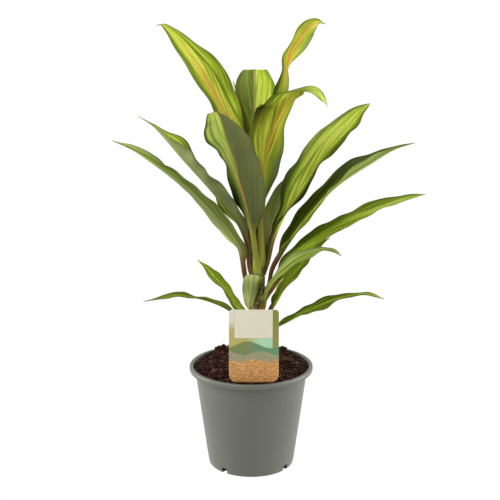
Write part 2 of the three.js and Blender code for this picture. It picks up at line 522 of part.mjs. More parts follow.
const plant = new THREE.Group();
plant.add(named("pot", potGeometry(), POT_FINISH));
plant.add(named("soil", soilGeometry(), SOIL_FINISH));
plant.add(named("stem", caneGeometry(), CANE_FINISH));
plant.add(named("plant_label", uprightPlate(labelOutline(), LABEL_THICKNESS), LABEL_FINISH));
for (const leaf of LEAVES) plant.add(named(leaf.name, leafGeometry(leaf), LEAF_FINISH));

export default plant;
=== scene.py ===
"""A young striped ti plant in its nursery pot, finished for a studio picture."""

import bpy
import numpy as np
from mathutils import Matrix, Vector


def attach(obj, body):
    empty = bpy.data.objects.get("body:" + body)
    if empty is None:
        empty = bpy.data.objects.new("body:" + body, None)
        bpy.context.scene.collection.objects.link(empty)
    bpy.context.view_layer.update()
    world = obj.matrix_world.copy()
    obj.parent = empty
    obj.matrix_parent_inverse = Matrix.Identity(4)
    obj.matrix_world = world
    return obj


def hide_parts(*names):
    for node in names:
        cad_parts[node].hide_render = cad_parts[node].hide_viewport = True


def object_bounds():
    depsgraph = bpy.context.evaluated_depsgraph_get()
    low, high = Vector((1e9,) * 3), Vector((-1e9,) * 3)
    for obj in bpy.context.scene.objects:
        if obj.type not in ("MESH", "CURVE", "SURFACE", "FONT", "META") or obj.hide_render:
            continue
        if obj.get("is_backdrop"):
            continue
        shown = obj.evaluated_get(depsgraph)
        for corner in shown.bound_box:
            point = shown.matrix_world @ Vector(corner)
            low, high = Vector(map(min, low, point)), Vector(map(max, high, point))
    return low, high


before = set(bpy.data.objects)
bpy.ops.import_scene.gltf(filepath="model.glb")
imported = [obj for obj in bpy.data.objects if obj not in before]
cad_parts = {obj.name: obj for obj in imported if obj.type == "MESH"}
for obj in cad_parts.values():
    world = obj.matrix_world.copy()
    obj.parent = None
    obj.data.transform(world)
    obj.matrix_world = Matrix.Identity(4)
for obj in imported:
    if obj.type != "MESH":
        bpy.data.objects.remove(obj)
cad_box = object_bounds()

MM = 0.001

# Camera: millimetres in front of the pot's axis and above its base, how many degrees it looks down, and
# its lens and sensor in millimetres
CAMERA_BACK = 950
CAMERA_UP = 435
CAMERA_TILT = 13.1
CAMERA_LENS = 74.0
CAMERA_SENSOR = 36
CAMERA_SHIFT = -0.0023

# Studio: how bright the sky and the floor are, and the floor's half width
SKY_STRENGTH = 1.02
FLOOR_REACH = 40000

# Lights: name, place in metres, the height on the pot's axis that it is turned to, power and width
LIGHTS = (("key", (-0.9, -1.0, 1.3), 0.25, 16, 0.8),
          ("fill", (1.1, -0.6, 0.9), 0.22, 5, 0.9),
          ("left_edge", (-1.3, 0.15, 0.35), 0.15, 18, 0.7),
          ("right_edge", (1.3, 0.15, 0.35), 0.15, 20, 0.7))

# Pot
POT_HEIGHT = 100
POT_RIM_RADIUS = 60
POT_RIM_LIP = 4
POT_RIM_BAND = 6
POT_NECK_RADIUS = 54.3
POT_BASE_RADIUS = 41.7
POT_WALL = 1.6
POT_FLOOR = 2
POT_SIDES = 192
POT_SHARP_EDGE = 38

# Radii of the pot's round edges: the base, the neck, under the rim's band, and the lip outside and inside
BASE_ROUND = 2
NECK_ROUND = 0.9
BAND_ROUND = 2.2
LIP_ROUND = 1.5
LIP_INNER_ROUND = 1.3

# Drainage notches in the base edge
NOTCH_COUNT = 4
NOTCH_FIRST_BEARING = -38
NOTCH_WIDTH = 6.5
NOTCH_HEIGHT = 6
NOTCH_REACH = 6
NOTCH_ROUND = 1

# Soil
SOIL_EDGE_HEIGHT = 96.6
SOIL_BACK_RISE = 2.6
SOIL_MOUND = 2.4
SOIL_TOP_RADIUS = 55
SOIL_UNDERSIDE = 3.3
SOIL_GAP = 0.3
SOIL_SIDES = 240

# Random lumps on the soil: (height, size, seed), and heaps at its back: (height, x, y, breadth, depth)
SOIL_LUMPS = ((0.75, 3.4, 1), (0.6, 1.9, 2), (0.3, 1.1, 3))
SOIL_HEAPS = ((5.6, -27, 40, 130, 70), (5.2, 31, 38, 90, 70))

# Crumbs and fibres on the soil: how many, how far from the middle they start and how far they may reach
CRUMB_COUNT = 1100
CRUMB_REACH = 53.6
CRUMB_LIMIT = 54.8
CRUMB_SIZES = (0.5, 1.3)
CRUMB_EXTRA = 1.6
CRUMB_SEED = 11
FIBRE_COUNT = 90
FIBRE_REACH = 50
FIBRE_LIMIT = 53.5
FIBRE_RADIUS = 0.16
FIBRE_LENGTHS = (4, 13)
FIBRE_BEND = 1.2
FIBRE_SEED = 5

# Cane: [height, x, y, radius], straight between these
CANE = np.array([[20, 3, 1, 7.5], [95, 3, 1, 7.5], [150, 6.5, 0, 7.0], [208, 6.5, 1, 6.6]])
CANE_SIDES = 96
CANE_ROWS = 420
CANE_SCARS = 24
CANE_FIRST_SCAR = 95
CANE_SEED = 3
CANE_INSET = 0.3

# The cane's scars and the swollen nodes under them: depth or height, and half length
SCAR_DEPTH = 0.3
SCAR_REACH = 0.45
NODE_SWELL = 0.28
NODE_REACH = 1.6
NODE_BELOW_SCAR = 1.3

# Label
LABEL_CENTRE_X = 2.5
LABEL_Y = -47
LABEL_WIDTH = 46
LABEL_TOP = 168.8
LABEL_BOTTOM = 98.8
LABEL_THICKNESS = 0.8
LABEL_TOP_CORNER = 3.5
LABEL_BOTTOM_CORNER = 7
LABEL_EDGE_ROUND = 0.18
LABEL_EDGE_DEPTH = 0.15
STAKE_HALF_WIDTH = 6
STAKE_SHOULDER = 78
STAKE_TIP = 66
STAKE_TIP_HALF_WIDTH = 2

# The label's print, from the label's middle: the bare panel and the strips on its two sides
PANEL_MIDDLE = -0.3
PANEL_HALF_WIDTH = 17.6
PANEL_BOTTOM = 7.8
STRIP_START = 17

# Leaves: thickness in the middle and at the edge, the stalk, the midrib and how finely they are divided
BLADE_THICKNESS = 0.55
EDGE_THICKNESS = 0.22
STALK_EXTRA = 0.95
MIDRIB_RIDGE = 1.1
MIDRIB_GROOVE = 0.3
VEIN_RELIEF = 0.02
VEIN_SPACING = 2.6
VEIN_SLANT = 0.16
VEIN_CROWDING = 2.2
LEAF_STEP = 1.9
LEAF_ROWS_AT_LEAST = 36
LEAF_HALF_COLUMNS = 21
COLUMN_CROWDING = 1.35
MIDRIB_SAMPLES = 400
BASE_CLEARANCE = 0.3
BASE_HALF_WIDTH = 5
BLADE_HALF_WIDTH_AT_LEAST = 1.5
TIP_HALF_WIDTH = 0.3
RISE_POWER = 0.75
RIGHT_EDGE_LAG = 1.9
CUP_PLACE = 0.08

# The waves swell towards the blade's middle by a power, and a narrow leaf's skins follow its lift
SWELL_POWER = 0.7
NARROW_HALF_WIDTH = 0.8
NARROW_FADE = 2.2

# How many degrees each half of a leaf curls up: at the cane, in the stalk, at its end and in the blade
BASE_CURL = 45
STALK_CURL = 50
STALK_END_CURL = 40
BLADE_CURL = 8

# Slow waves in the blade: the edge's height and pace, and the halves' height and length
SLOW_EDGE = 0.5
SLOW_EDGE_PACE = 2.3
SLOW_HALF = 0.35
SLOW_HALF_LENGTH = 9

# Colours: how far the midrib, the edge's shade and its brown line reach, how dark the shade is, and how
# far apart the random streaks of the leaves and of a leaf's halves are
RIB_REACH = 0.75
SHADE_REACH = 1.6
LINE_REACH = 0.45
SHADE = 0.06
LEAF_SEED = 7.3
HALF_SEED = 3.1

# Half the midrib's width: at the cane, at the stalk's end and at the tip
RIB_AT_CANE = 1.6
RIB_AT_STALK_END = 1.3
RIB_AT_TIP = 0.35

# How far a leaf first leans out while it rises: (for leaves that start above this height, lean)
FIRST_RISE = 9
FIRST_LEANS = ((190, 1.5), (186, 2.5), (0, 3))

# How much darker a paint is than it looks in the studio's light
LIGHT_GAIN = 0.79

# What most leaves share: where the stalk ends along the leaf, half its width, how much of the blade's
# colour its edges keep (wings), how long the point is drawn out (taper), the number, height and start of
# the edge's waves, how far the two halves are folded up just above the base (cup), and no nips or patches
USUAL_LEAF = dict(stalk=0.2, stalk_half=2.4, wings=0, taper=1.05, waves=3, ripple=1.2, phase=0, cup=15,
                  nips=(), patches=(), from_top=False)

# The leaves' table, in millimetres and degrees. Each leaf leaves the cane at a height and a compass
# bearing (0 is +X, 90 is the back), and its upper face looks back along the direction it faces. The spine
# is the midrib, roll turns the blade about it and fold lifts its two halves, at places along the leaf from
# 0 to 1. Nips narrow the blade's right (1) or left (-1) half: (place along, half, length, share). Bands go
# across the blade from -1 on one edge to 1 on the other: (place, brightness, warmth), with the warmth from
# bluish grey at -1 to orange at 1. Patches change a spot: (place along, place across, length, breadth,
# brightness, warmth). Red is the colour of the stalk and midrib along the leaf, from pale green at 0 to
# maroon at 1.
LEAVES = [
    dict(name="leaf_upper_left", height=197, bearing=153, faces=140, width=45, taper=0.9, ripple=2,
        phase=0.4, nips=[(0.5, 1, 0.06, -0.2), (0.73, 1, 0.06, -0.3)],
        spine=[(-3, 11, 229), (-3, 20, 254), (-8, 32, 300), (-24, 42, 337), (-38, 50, 363), (-51, 56, 385),
            (-68, 61, 406), (-79, 64, 417), (-86, 67, 422), (-92, 71, 421)],
        roll=[(0.3, 0), (0.6, -1), (0.7, -15), (0.8, -7), (0.9, -13), (1, -10)],
        fold=[(0.25, 40), (0.5, 20), (0.6, 16), (0.7, 21), (0.85, 2), (1, 0)],
        bands=[(-1, 0.54, -0.1), (-0.84, 0.6, 0), (-0.72, 0.7, 0), (-0.62, 0.84, 0.2), (-0.54, 0.7, 0),
            (-0.46, 0.42, 0), (-0.36, 0.86, 0.1), (-0.22, 0.84, 0.15), (-0.12, 0.96, 0.15), (0, 1, 0.25),
            (0.25, 1, 0.3), (0.45, 0.92, 0.15), (0.62, 0.64, 0), (0.74, 0.5, 0), (1, 0.5, -0.1)],
        patches=[(1, 0, 0.12, 1, -0.1, -0.2), (0.5, 0.1, 0.18, 0.2, 0, 0.5),
            (0.7, 0.2, 0.08, 0.15, 0, 0.3)],
        red=[(0, 0.8), (0.2, 0.6), (0.35, 0.4), (0.65, 0.35), (0.8, 0.1), (1, 0)]),
    dict(name="leaf_upper_right", height=197, bearing=45, faces=45, width=38, stalk=0.24, taper=0.8,
        phase=1, nips=[(0.84, 1, 0.06, 0.65), (0.76, 1, 0.05, 0.12), (0.81, -1, 0.05, 0.3)],
        spine=[(11, 10, 235), (12, 19, 259), (20, 27, 320), (28, 41, 354), (32, 45, 369), (34, 47, 380),
            (36, 48, 391), (40, 48, 401), (45, 46, 409), (50, 44, 415), (56, 41, 421), (63, 38, 424),
            (70, 34, 423)],
        roll=[(0.4, -10), (0.6, -24), (0.74, -33), (0.85, 30), (0.92, 42), (1, 30)],
        fold=[(0.25, 40), (0.5, 15), (0.62, 0), (0.8, 2), (0.86, -8), (0.94, 5), (1, 3)],
        bands=[(-1, 0.74, -0.6), (-0.8, 0.8, -0.5), (-0.5, 0.92, 0.1), (-0.15, 1, 0.5), (0, 1, 0.6),
            (0.2, 1, 0.4), (0.5, 0.9, 0.2), (0.8, 0.76, 0), (1, 0.7, 0.1)],
        patches=[(0.6, 0.2, 0.12, 1.2, -0.38, -0.3), (0.7, 1, 0.1, 0.7, -0.5, -0.1),
            (0.77, -0.2, 0.06, 0.6, 0, 0.5)],
        red=[(0, 0.8), (0.24, 0.5), (0.5, 0.1), (0.8, 0.3), (1, 0.4)]),
    dict(name="leaf_back_top", height=204, bearing=98, faces=90, width=44, stalk=0.22,
        nips=[(0.8, 1, 0.07, 0.3), (0.8, -1, 0.07, 0.3)],
        spine=[(4, 27, 237), (2, 42, 254), (2, 58, 302), (4, 73, 349), (4, 84, 368), (4, 98, 377),
            (4, 114, 374), (4, 128, 357), (5, 135, 336)],
        roll=[(1, 0)],
        fold=[(0.25, 40), (0.5, 22), (0.62, 12), (0.73, -8), (0.84, -10), (1, -5)],
        bands=[(-1, 0.6, 0), (-0.85, 0.68, 0), (-0.7, 0.9, 0), (-0.12, 0.9, 0), (-0.03, 0.85, -0.2),
            (0.03, 0.8, -0.5), (0.1, 0.5, -0.3), (1, 0.5, -0.3)],
        red=[(0, 0.8), (0.22, 0.7), (0.4, 0.55), (1, 0.5)]),
    dict(name="leaf_front_arching", height=199, bearing=-53, faces=-50, width=48, stalk_half=3.6,
        ripple=1.6, phase=3.1,
        nips=[(0.42, -1, 0.06, 0.35), (0.53, -1, 0.06, -0.15), (0.71, -1, 0.05, -0.2),
            (0.76, -1, 0.05, -0.75), (0.81, -1, 0.05, 0.15), (0.86, -1, 0.05, 0.5), (0.95, -1, 0.04, -0.4),
            (0.26, 1, 0.05, -0.2), (0.63, 1, 0.04, -0.5), (0.68, 1, 0.04, -0.2), (0.79, 1, 0.05, 0.45),
            (0.92, 1, 0.05, -0.75)],
        spine=[(9, -9, 248), (11, -12, 283), (13, -14, 306), (17, -15, 320), (22, -18, 335), (27, -23, 348),
            (32, -31, 358), (37, -41, 365), (43, -51, 368), (50, -61, 369), (57, -70, 367), (61, -77, 363),
            (64, -83, 357)],
        roll=[(0.2, 10), (0.3, 6), (0.5, 6), (0.65, 5), (0.7, 10), (0.75, 11), (0.8, -8), (0.9, -44),
            (1, -65)],
        fold=[(0.25, 18), (0.38, -3), (0.48, 0), (0.64, 18), (0.7, 4), (0.8, -8), (1, 0)],
        bands=[(-1, 0.34, 0.1), (-0.86, 0.34, 0.1), (-0.7, 0.56, 0.15), (-0.35, 0.66, 0.15),
            (-0.15, 0.6, 0.3), (0, 0.62, 0.4), (0.3, 0.62, 0.4), (0.6, 0.58, 0.35), (0.8, 0.5, 0),
            (1, 0.4, -0.3)],
        patches=[(0.93, 0, 0.15, 1.6, 0.42, -0.5), (0.36, 0.75, 0.14, 0.6, -0.22, -0.8),
            (0.66, -1, 0.08, 0.4, -0.25, 0)],
        red=[(0, 0.08), (0.2, 0.1), (0.35, 0.4), (0.75, 0.4), (0.9, 0)]),
    dict(name="leaf_front_centre", height=192, bearing=-102, faces=-100, width=44, stalk_half=3.6,
        stalk=0.22, taper=1.2,
        nips=[(0.33, -1, 0.06, -0.25), (0.5, -1, 0.1, -0.25), (0.72, -1, 0.06, -0.2), (0.86, -1, 0.06, 0.4),
            (0.79, 1, 0.06, 0.45)],
        spine=[(-2, -24, 251), (-6, -29, 268), (-11, -34, 286), (-16, -39, 307), (-23, -43, 327),
            (-28, -41, 343), (-31, -33, 347), (-32, -20, 342), (-30, -7, 325)],
        roll=[(0.2, -5), (0.32, -22), (0.5, -22), (0.6, -12), (0.7, 4), (0.85, 12), (1, 10)],
        fold=[(0.22, 25), (0.35, 22), (0.55, 30), (0.65, 24), (0.75, 14), (0.85, 12), (1, 5)],
        bands=[(-1, 0.2, 0), (-0.92, 0.3, 0), (-0.8, 0.7, -0.4), (-0.15, 0.78, -0.4), (-0.03, 0.8, -0.2),
            (0.05, 0.32, -0.8), (0.3, 0.28, -0.8), (1, 0.33, -0.8)],
        # The dark patch low on the left half is painted shade under the drooping part of the blade
        patches=[(0.36, -0.65, 0.12, 0.5, -0.75, 0.2)],
        red=[(0, 0), (0.22, 0.06), (0.4, 0.4), (0.75, 0.1), (1, 0)]),
    dict(name="leaf_right_broad", height=190, bearing=-2, faces=25, width=44, stalk_half=4.2, wings=0.8,
        taper=0.85, ripple=1.8, phase=0.5,
        nips=[(0.31, 1, 0.08, 0.45), (0.45, -1, 0.08, -0.25), (0.74, -1, 0.05, -0.35),
            (0.95, -1, 0.05, 0.3)],
        spine=[(21, 10, 222), (32, 18, 245), (44, 25, 264), (56, 32, 281), (75, 42, 305), (91, 49, 322),
            (103, 54, 336), (116, 60, 347)],
        roll=[(0.3, 5), (0.5, 11), (0.6, 5), (0.7, 12), (0.85, 28), (1, 28)],
        fold=[(0.22, 35), (0.4, 18), (0.6, 22), (0.7, 18), (0.8, 25), (0.9, 15), (1, 5)],
        bands=[(-1, 0.45, -0.2), (-0.74, 0.42, 0), (-0.55, 0.66, 0), (-0.2, 0.86, 0), (0.1, 0.94, 0),
            (0.3, 0.9, 0), (0.42, 0.55, -0.3), (0.5, 0.82, 0), (0.62, 0.74, 0), (0.8, 0.45, -0.3),
            (1, 0.42, -0.4)],
        patches=[(0.32, 0.9, 0.14, 0.4, -0.38, 0), (0.4, -0.9, 0.15, 0.45, -0.42, -0.3),
            (0.75, 0.6, 0.14, 0.6, 0.3, 0)],
        red=[(0, 0.8), (0.2, 0.7), (0.4, 0.3), (1, 0.1)]),
    dict(name="leaf_right_second", height=168, bearing=-8, faces=-5, width=42, stalk_half=3, stalk=0.22,
        taper=1, nips=[(0.45, -1, 0.1, -0.55), (0.52, 1, 0.07, 0.15)],
        spine=[(20, -5, 196), (27, -6, 210), (36, -6, 224), (50, -6, 243), (70, -6, 267), (83, -6, 279),
            (96, -6, 288), (111, -4, 297), (133, -2, 310), (152, 0, 316)],
        roll=[(0.2, 15), (0.35, 18), (0.5, 12), (0.6, 9), (0.75, 3), (1, -3)],
        fold=[(0.2, 30), (0.35, 15), (0.5, 10), (0.6, 16), (0.7, 28), (0.85, 25), (1, 5)],
        bands=[(-1, 0.7, -0.2), (-0.6, 0.62, -0.2), (-0.3, 0.4, 0), (-0.12, 0.9, 0), (0.06, 0.94, 0),
            (0.14, 0.26, 0), (0.5, 0.1, 0), (1, 0.18, 0)],
        patches=[(0.8, 0.1, 0.18, 1.1, 0.12, -0.75)],
        red=[(0, 0.9), (0.22, 0.85), (0.4, 0.3), (1, 0.1)]),
    dict(name="leaf_right_third", height=157, bearing=-44, faces=-8, width=38,
        nips=[(0.5, 1, 0.08, 0.3), (0.67, 1, 0.08, 0.35), (0.48, -1, 0.1, -0.5)],
        spine=[(17, -8, 173), (29, -10, 199), (44, -12, 218), (60, -14, 231), (82, -17, 244),
            (100, -19, 253), (122, -21, 261), (142, -23, 268), (159, -25, 272)],
        roll=[(0.3, 14), (0.45, 9), (0.6, 13), (0.8, 15), (1, 18)],
        fold=[(0.2, 20), (0.35, -2), (0.5, 0), (0.7, 0), (0.8, 6), (1, 5)],
        bands=[(-1, 0.66, -0.2), (-0.7, 0.62, 0), (-0.2, 0.7, 0), (0.05, 0.62, 0), (0.2, 0.42, 0),
            (0.5, 0.5, 0), (0.8, 0.42, 0), (1, 0.44, 0)],
        patches=[(0.85, -0.3, 0.2, 0.8, 0.2, -0.2)],
        red=[(0, 0.9), (0.2, 0.7), (0.35, 0.2), (1, 0)]),
    dict(name="leaf_right_low_front", height=147, bearing=-69, faces=-40, width=36, taper=1, waves=2,
        spine=[(12, -24, 170), (17, -36, 188), (30, -50, 206), (42, -62, 219), (54, -70, 227),
            (65, -76, 232), (73, -80, 231), (78, -83, 228)],
        roll=[(0.3, 30), (0.4, 33), (0.6, 27), (0.82, 21), (0.92, -4), (1, -10)],
        fold=[(0.25, 12), (0.4, 1), (0.5, 6), (0.7, 0), (1, 0)],
        bands=[(-1, 0.36, -0.2), (-0.7, 0.54, -0.4), (-0.4, 0.34, -0.3), (-0.2, 0.58, -0.4),
            (0, 0.58, -0.3), (0.2, 0.32, -0.2), (0.45, 0.6, -0.5), (0.8, 0.46, -0.7), (1, 0.36, -0.4)],
        red=[(0, 0.5), (0.2, 0.2), (0.5, 0), (1, 0)]),
    dict(name="leaf_right_lowest", height=126, bearing=-35, faces=-20, width=26, stalk=0.22, waves=2,
        ripple=1,
        spine=[(22, -16, 143), (37, -22, 152), (55, -28, 163), (73, -32, 172), (87, -34, 177),
            (106, -37, 181), (122, -40, 177)],
        roll=[(0.3, 4), (0.5, 10), (0.6, 12), (0.7, 4), (1, -2)],
        fold=[(0.25, 14), (0.4, 12), (0.5, 3), (0.6, -3), (0.7, 3), (1, 0)],
        bands=[(-1, 0.42, 0), (-0.3, 0.45, 0), (-0.1, 0.75, 0), (0.2, 0.7, 0), (0.4, 0.45, 0), (1, 0.4, 0)],
        red=[(0, 0.4), (0.22, 0.1), (1, 0)]),
    dict(name="leaf_low_back_right", height=151, bearing=55, faces=45, width=24, stalk=0.25, waves=2,
        ripple=1, spine=[(28, 28, 177), (45, 42, 193), (64, 54, 208), (83, 62, 218), (99, 68, 223)],
        roll=[(1, 0)],
        fold=[(0.25, 35), (0.5, 15), (1, 10)],
        bands=[(-1, 0.5, 0), (-0.4, 0.62, 0), (0, 0.7, 0), (0.5, 0.6, 0), (1, 0.5, 0)],
        red=[(0, 0.85), (0.25, 0.7), (0.5, 0.3), (1, 0.1)]),
    dict(name="leaf_low_right", height=140, bearing=4, faces=5, width=32, waves=2,
        spine=[(19, 0, 156), (25, 1, 165), (36, 2, 183), (49, 4, 197), (59, 5, 210), (67, 6, 218),
            (75, 7, 224)],
        roll=[(0.2, 15), (0.3, 4), (0.6, 2), (0.7, 6), (0.8, -2), (1, -2)],
        fold=[(0.2, 35), (0.3, 12), (0.5, 4), (0.8, 4), (1, 4)],
        bands=[(-1, 0.55, 0), (-0.4, 0.64, 0), (0, 0.7, 0), (0.5, 0.55, 0), (1, 0.45, 0)],
        red=[(0, 0.95), (0.2, 0.85), (0.35, 0.3), (1, 0.1)]),
    dict(name="leaf_left_long", height=166, bearing=-165, faces=-165, width=38, stalk_half=3,
        spine=[(-6, -9, 190), (-11, -14, 218), (-21, -17, 234), (-35, -20, 250), (-56, -26, 273),
            (-73, -30, 289), (-89, -34, 302), (-104, -37, 313), (-115, -39, 319), (-123, -41, 323)],
        roll=[(0.2, 15), (0.3, 22), (0.45, 18), (0.6, 15), (0.7, 5), (0.8, -4), (0.9, -15), (1, -15)],
        fold=[(0.2, 20), (0.3, 0), (0.45, 5), (0.6, 10), (0.7, 15), (0.8, 21), (0.9, 33), (1, 10)],
        bands=[(-1, 0.6, -0.9), (0, 0.58, -0.9), (0.3, 0.56, -0.8), (0.44, 0.3, -0.4), (0.58, 0.46, -0.4),
            (0.72, 0.33, -0.4), (1, 0.42, -0.5)],
        patches=[(0.3, -0.9, 0.08, 0.5, 0.3, 0.6), (0.92, 0, 0.16, 1.2, 0.36, 0.3)],
        red=[(0, 0.9), (0.2, 0.85), (0.3, 0.15), (1, 0.1)]),
    dict(name="leaf_left_upper", height=187, bearing=-160, faces=-172, width=42, stalk_half=3.6, wings=0.6,
        stalk=0.22,
        spine=[(-4, -3, 221), (-12, -3, 240), (-24, -3, 255), (-35, -4, 269), (-48, -4, 284),
            (-63, -5, 301), (-79, -5, 320), (-90, -6, 332), (-103, -6, 341)],
        roll=[(0.2, 20), (0.35, 28), (0.5, 13), (0.6, 2), (0.7, -3), (0.76, -13), (0.9, -3), (1, 0)],
        fold=[(0.2, 12), (0.35, 7), (0.5, 14), (0.65, 26), (0.76, 40), (0.85, 21), (1, 5)],
        bands=[(-1, 0.34, 0), (-0.85, 0.66, 0), (-0.6, 0.88, 0), (-0.1, 0.86, 0), (0.05, 0.68, -0.8),
            (0.5, 0.7, -0.95), (0.8, 0.66, -0.95), (1, 0.56, -0.9)],
        # The second patch, dark and low on the near half, is painted shade in the fold of the blade
        patches=[(0.26, 0.3, 0.06, 1, -0.2, 0.2), (0.38, -0.8, 0.07, 0.55, -0.8, 0)],
        red=[(0, 0.85), (0.22, 0.85), (0.3, 0.2), (1, 0.1)]),
    dict(name="leaf_left_small", height=129, bearing=155, faces=165, width=22, waves=2, ripple=1,
        spine=[(-6, 6, 146), (-15, 8, 159), (-24, 11, 172), (-38, 14, 186), (-52, 18, 200)],
        roll=[(0.4, -3), (0.7, -3), (0.8, -12), (1, -12)],
        fold=[(0.2, 15), (0.35, -4), (0.6, 2), (0.75, 5), (0.9, 20), (1, 10)],
        bands=[(-1, 0.6, 0), (-0.2, 0.62, 0), (0, 0.8, 0), (0.25, 0.78, 0), (0.4, 0.6, 0), (1, 0.55, 0)],
        red=[(0, 0.1), (0.2, 0), (1, 0)]),
    dict(name="leaf_left_lowest", height=122, bearing=-140, faces=-160, width=22, waves=2, ripple=1,
        spine=[(-12, -13, 150), (-21, -17, 160), (-41, -24, 171), (-57, -29, 176), (-70, -33, 178),
            (-86, -37, 176), (-99, -41, 175)],
        roll=[(0.4, -3), (0.6, 5), (0.7, 0), (1, 0)],
        fold=[(0.2, 15), (0.4, 9), (0.5, 5), (0.6, -2), (0.7, 1), (0.8, 11), (1, 5)],
        bands=[(-1, 0.36, 0), (-0.2, 0.44, -0.1), (0.1, 0.5, -0.1), (1, 0.38, 0)],
        red=[(0, 0.1), (0.2, 0), (1, 0)]),
    dict(name="leaf_front_short", height=139, bearing=-114, faces=-95, width=18, stalk=0.28, taper=0.6,
        waves=1, ripple=0.5,
        spine=[(-1, -17, 164), (0, -21, 176), (1, -25, 186), (2, -26, 192), (3, -22, 195), (3, -17, 193),
            (3, -13, 188)],
        roll=[(0.3, 8), (0.6, 8), (1, 4)],
        fold=[(0.2, 25), (0.4, 18), (0.6, 8), (0.8, 4), (1, 2)],
        bands=[(-1, 0.9, -0.9), (-0.4, 0.98, -0.8), (0, 0.94, -0.9), (0.4, 0.98, -0.9), (0.8, 0.66, -0.3),
            (1, 0.5, 0.3)],
        patches=[(0.7, -0.5, 0.12, 1, -0.2, 0), (0.55, 0.8, 0.3, 0.4, -0.35, 0.1)],
        red=[(0, 0.85), (0.25, 0.8), (0.36, 0.1), (0.7, 0.05), (0.9, 0.4)]),
    dict(name="leaf_young_spear", height=208, bearing=120, faces=120, width=13, stalk=0.1, waves=2,
        ripple=0.3, from_top=True,
        spine=[(3, 7, 246), (-2, 10, 298), (-7, 14, 336), (-12, 18, 356), (-17, 22, 371)],
        roll=[(1, 0)], cup=30,
        fold=[(0.25, 50), (0.8, 45), (1, 20)],
        bands=[(-1, 0.35, 0.1), (0, 0.3, 0), (1, 0.35, 0.1)],
        red=[(0, 0.5), (0.5, 0.6), (1, 0.6)]),
    dict(name="leaf_back_right", height=178, bearing=80, faces=55, width=26, stalk=0.22, waves=2, ripple=1,
        spine=[(14, 16, 192), (21, 38, 233), (31, 50, 257), (47, 60, 279), (65, 68, 298)],
        roll=[(0.3, -10), (1, -10)],
        fold=[(0.25, 25), (0.4, 6), (1, 5)],
        bands=[(-1, 0.34, -0.3), (0, 0.4, -0.5), (1, 0.34, -0.4)],
        red=[(0, 0.85), (0.25, 0.75), (0.35, 0.55), (1, 0.5)]),
]


def srgb(red, green, blue):
    """A colour given as it looks on screen, 0 to 255, as the linear colour that a shader takes."""
    share = np.array([red, green, blue]) / 255
    linear = np.where(share <= 0.04045, share / 12.92, ((share + 0.055) / 1.055) ** 2.4)
    return (*linear.tolist(), 1.0)


def paint(red, green, blue):
    """A colour as it looks in the studio's light, 0 to 255, turned into the paint that gives it there."""
    return (*(LIGHT_GAIN * value for value in srgb(red, green, blue)[:3]), 1.0)


def eased(t, keys):
    """Values at the places t between (place, value) keys, eased by a cosine from each key to the next."""
    places, values = np.array(keys, float).T
    if len(keys) == 1:
        return np.full(np.shape(t), values[0])
    i = np.clip(np.searchsorted(places, t, side="right") - 1, 0, len(keys) - 2)
    share = np.clip((t - places[i]) / (places[i + 1] - places[i]), 0, 1)
    return values[i] + (values[i + 1] - values[i]) * (0.5 - 0.5 * np.cos(np.pi * share))


def value_noise(x, y, cell, seed, count=64):
    """Smooth random heights from -1 to 1: a lattice of random values joined by a smooth step."""
    table = np.random.default_rng(seed).uniform(-1, 1, (count, count))
    gx, gy = np.asarray(x) / cell, np.asarray(y) / cell
    ix, iy = np.floor(gx).astype(int), np.floor(gy).astype(int)
    fx, fy = gx - ix, gy - iy
    fx, fy = fx * fx * (3 - 2 * fx), fy * fy * (3 - 2 * fy)
    corner = lambda dx, dy: table[(ix + dx) % count, (iy + dy) % count]
    low = corner(0, 0) * (1 - fx) + corner(1, 0) * fx
    high = corner(0, 1) * (1 - fx) + corner(1, 1) * fx
    return low * (1 - fy) + high * fy


def unit(vectors):
    """Vectors made one long."""
    return vectors / np.linalg.norm(vectors, axis=-1, keepdims=True)


# Meshes

def add_object(name, data):
    """An object in the scene for a mesh, a light or a camera."""
    made = bpy.data.objects.new(name, data)
    bpy.context.scene.collection.objects.link(made)
    return made


def add_mesh(name, points, faces):
    """An object with a mesh from points in millimetres and faces."""
    mesh = bpy.data.meshes.new(name)
    mesh.from_pydata((np.asarray(points) * MM).tolist(), [], [list(face) for face in faces])
    return add_object(name, mesh)


def make_piece(name, points, faces, material, nodes=(), sharp=None):
    """A smooth-shaded piece from points in millimetres and faces. It rides with the root body and stands
    for nodes, whose parts it hides, and its edges past the sharp angle stay sharp."""
    piece = add_mesh(name, points, faces)
    mesh = piece.data
    mesh.polygons.foreach_set("use_smooth", np.ones(len(mesh.polygons), bool))
    if sharp is not None:
        mesh.set_sharp_from_angle(angle=np.radians(sharp))
    mesh.materials.append(material)
    mesh.update()
    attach(piece, "root")
    if nodes:
        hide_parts(*nodes)
    return piece


def add_attribute(piece, name, values):
    """One number for each point of a piece, for its material to read."""
    attribute = piece.data.attributes.new(name, "FLOAT", "POINT")
    attribute.data.foreach_set("value", np.asarray(values, np.float32).ravel())


def round_rings(radii, heights, sides, x=0.0, y=0.0):
    """Level rings of points about a middle, with a radius and a height for each ring or each point."""
    turn = np.linspace(0, 2 * np.pi, sides, endpoint=False)
    return np.stack(np.broadcast_arrays(x + radii * np.cos(turn), y + radii * np.sin(turn), heights), -1)


def ring_faces(rows, sides):
    """Quads between rings of points that close on themselves, the rings stacked upwards and turned left."""
    i, j = np.meshgrid(np.arange(rows - 1), np.arange(sides), indexing="ij")
    k = (j + 1) % sides
    quads = np.stack([i * sides + j, i * sides + k, (i + 1) * sides + k, (i + 1) * sides + j], -1)
    return quads.reshape(-1, 4).tolist()


def closed_rings(rings, first, last):
    """Points and faces of a body through rings of points, closed by a fan to a point at each end."""
    rows, sides = rings.shape[:2]
    count = rows * sides
    top = count - sides
    faces = ring_faces(rows, sides)
    faces += [(count, (j + 1) % sides, j) for j in range(sides)]
    faces += [(count + 1, top + j, top + (j + 1) % sides) for j in range(sides)]
    return np.vstack([rings.reshape(-1, 3), [first, last]]), faces


# Shaders

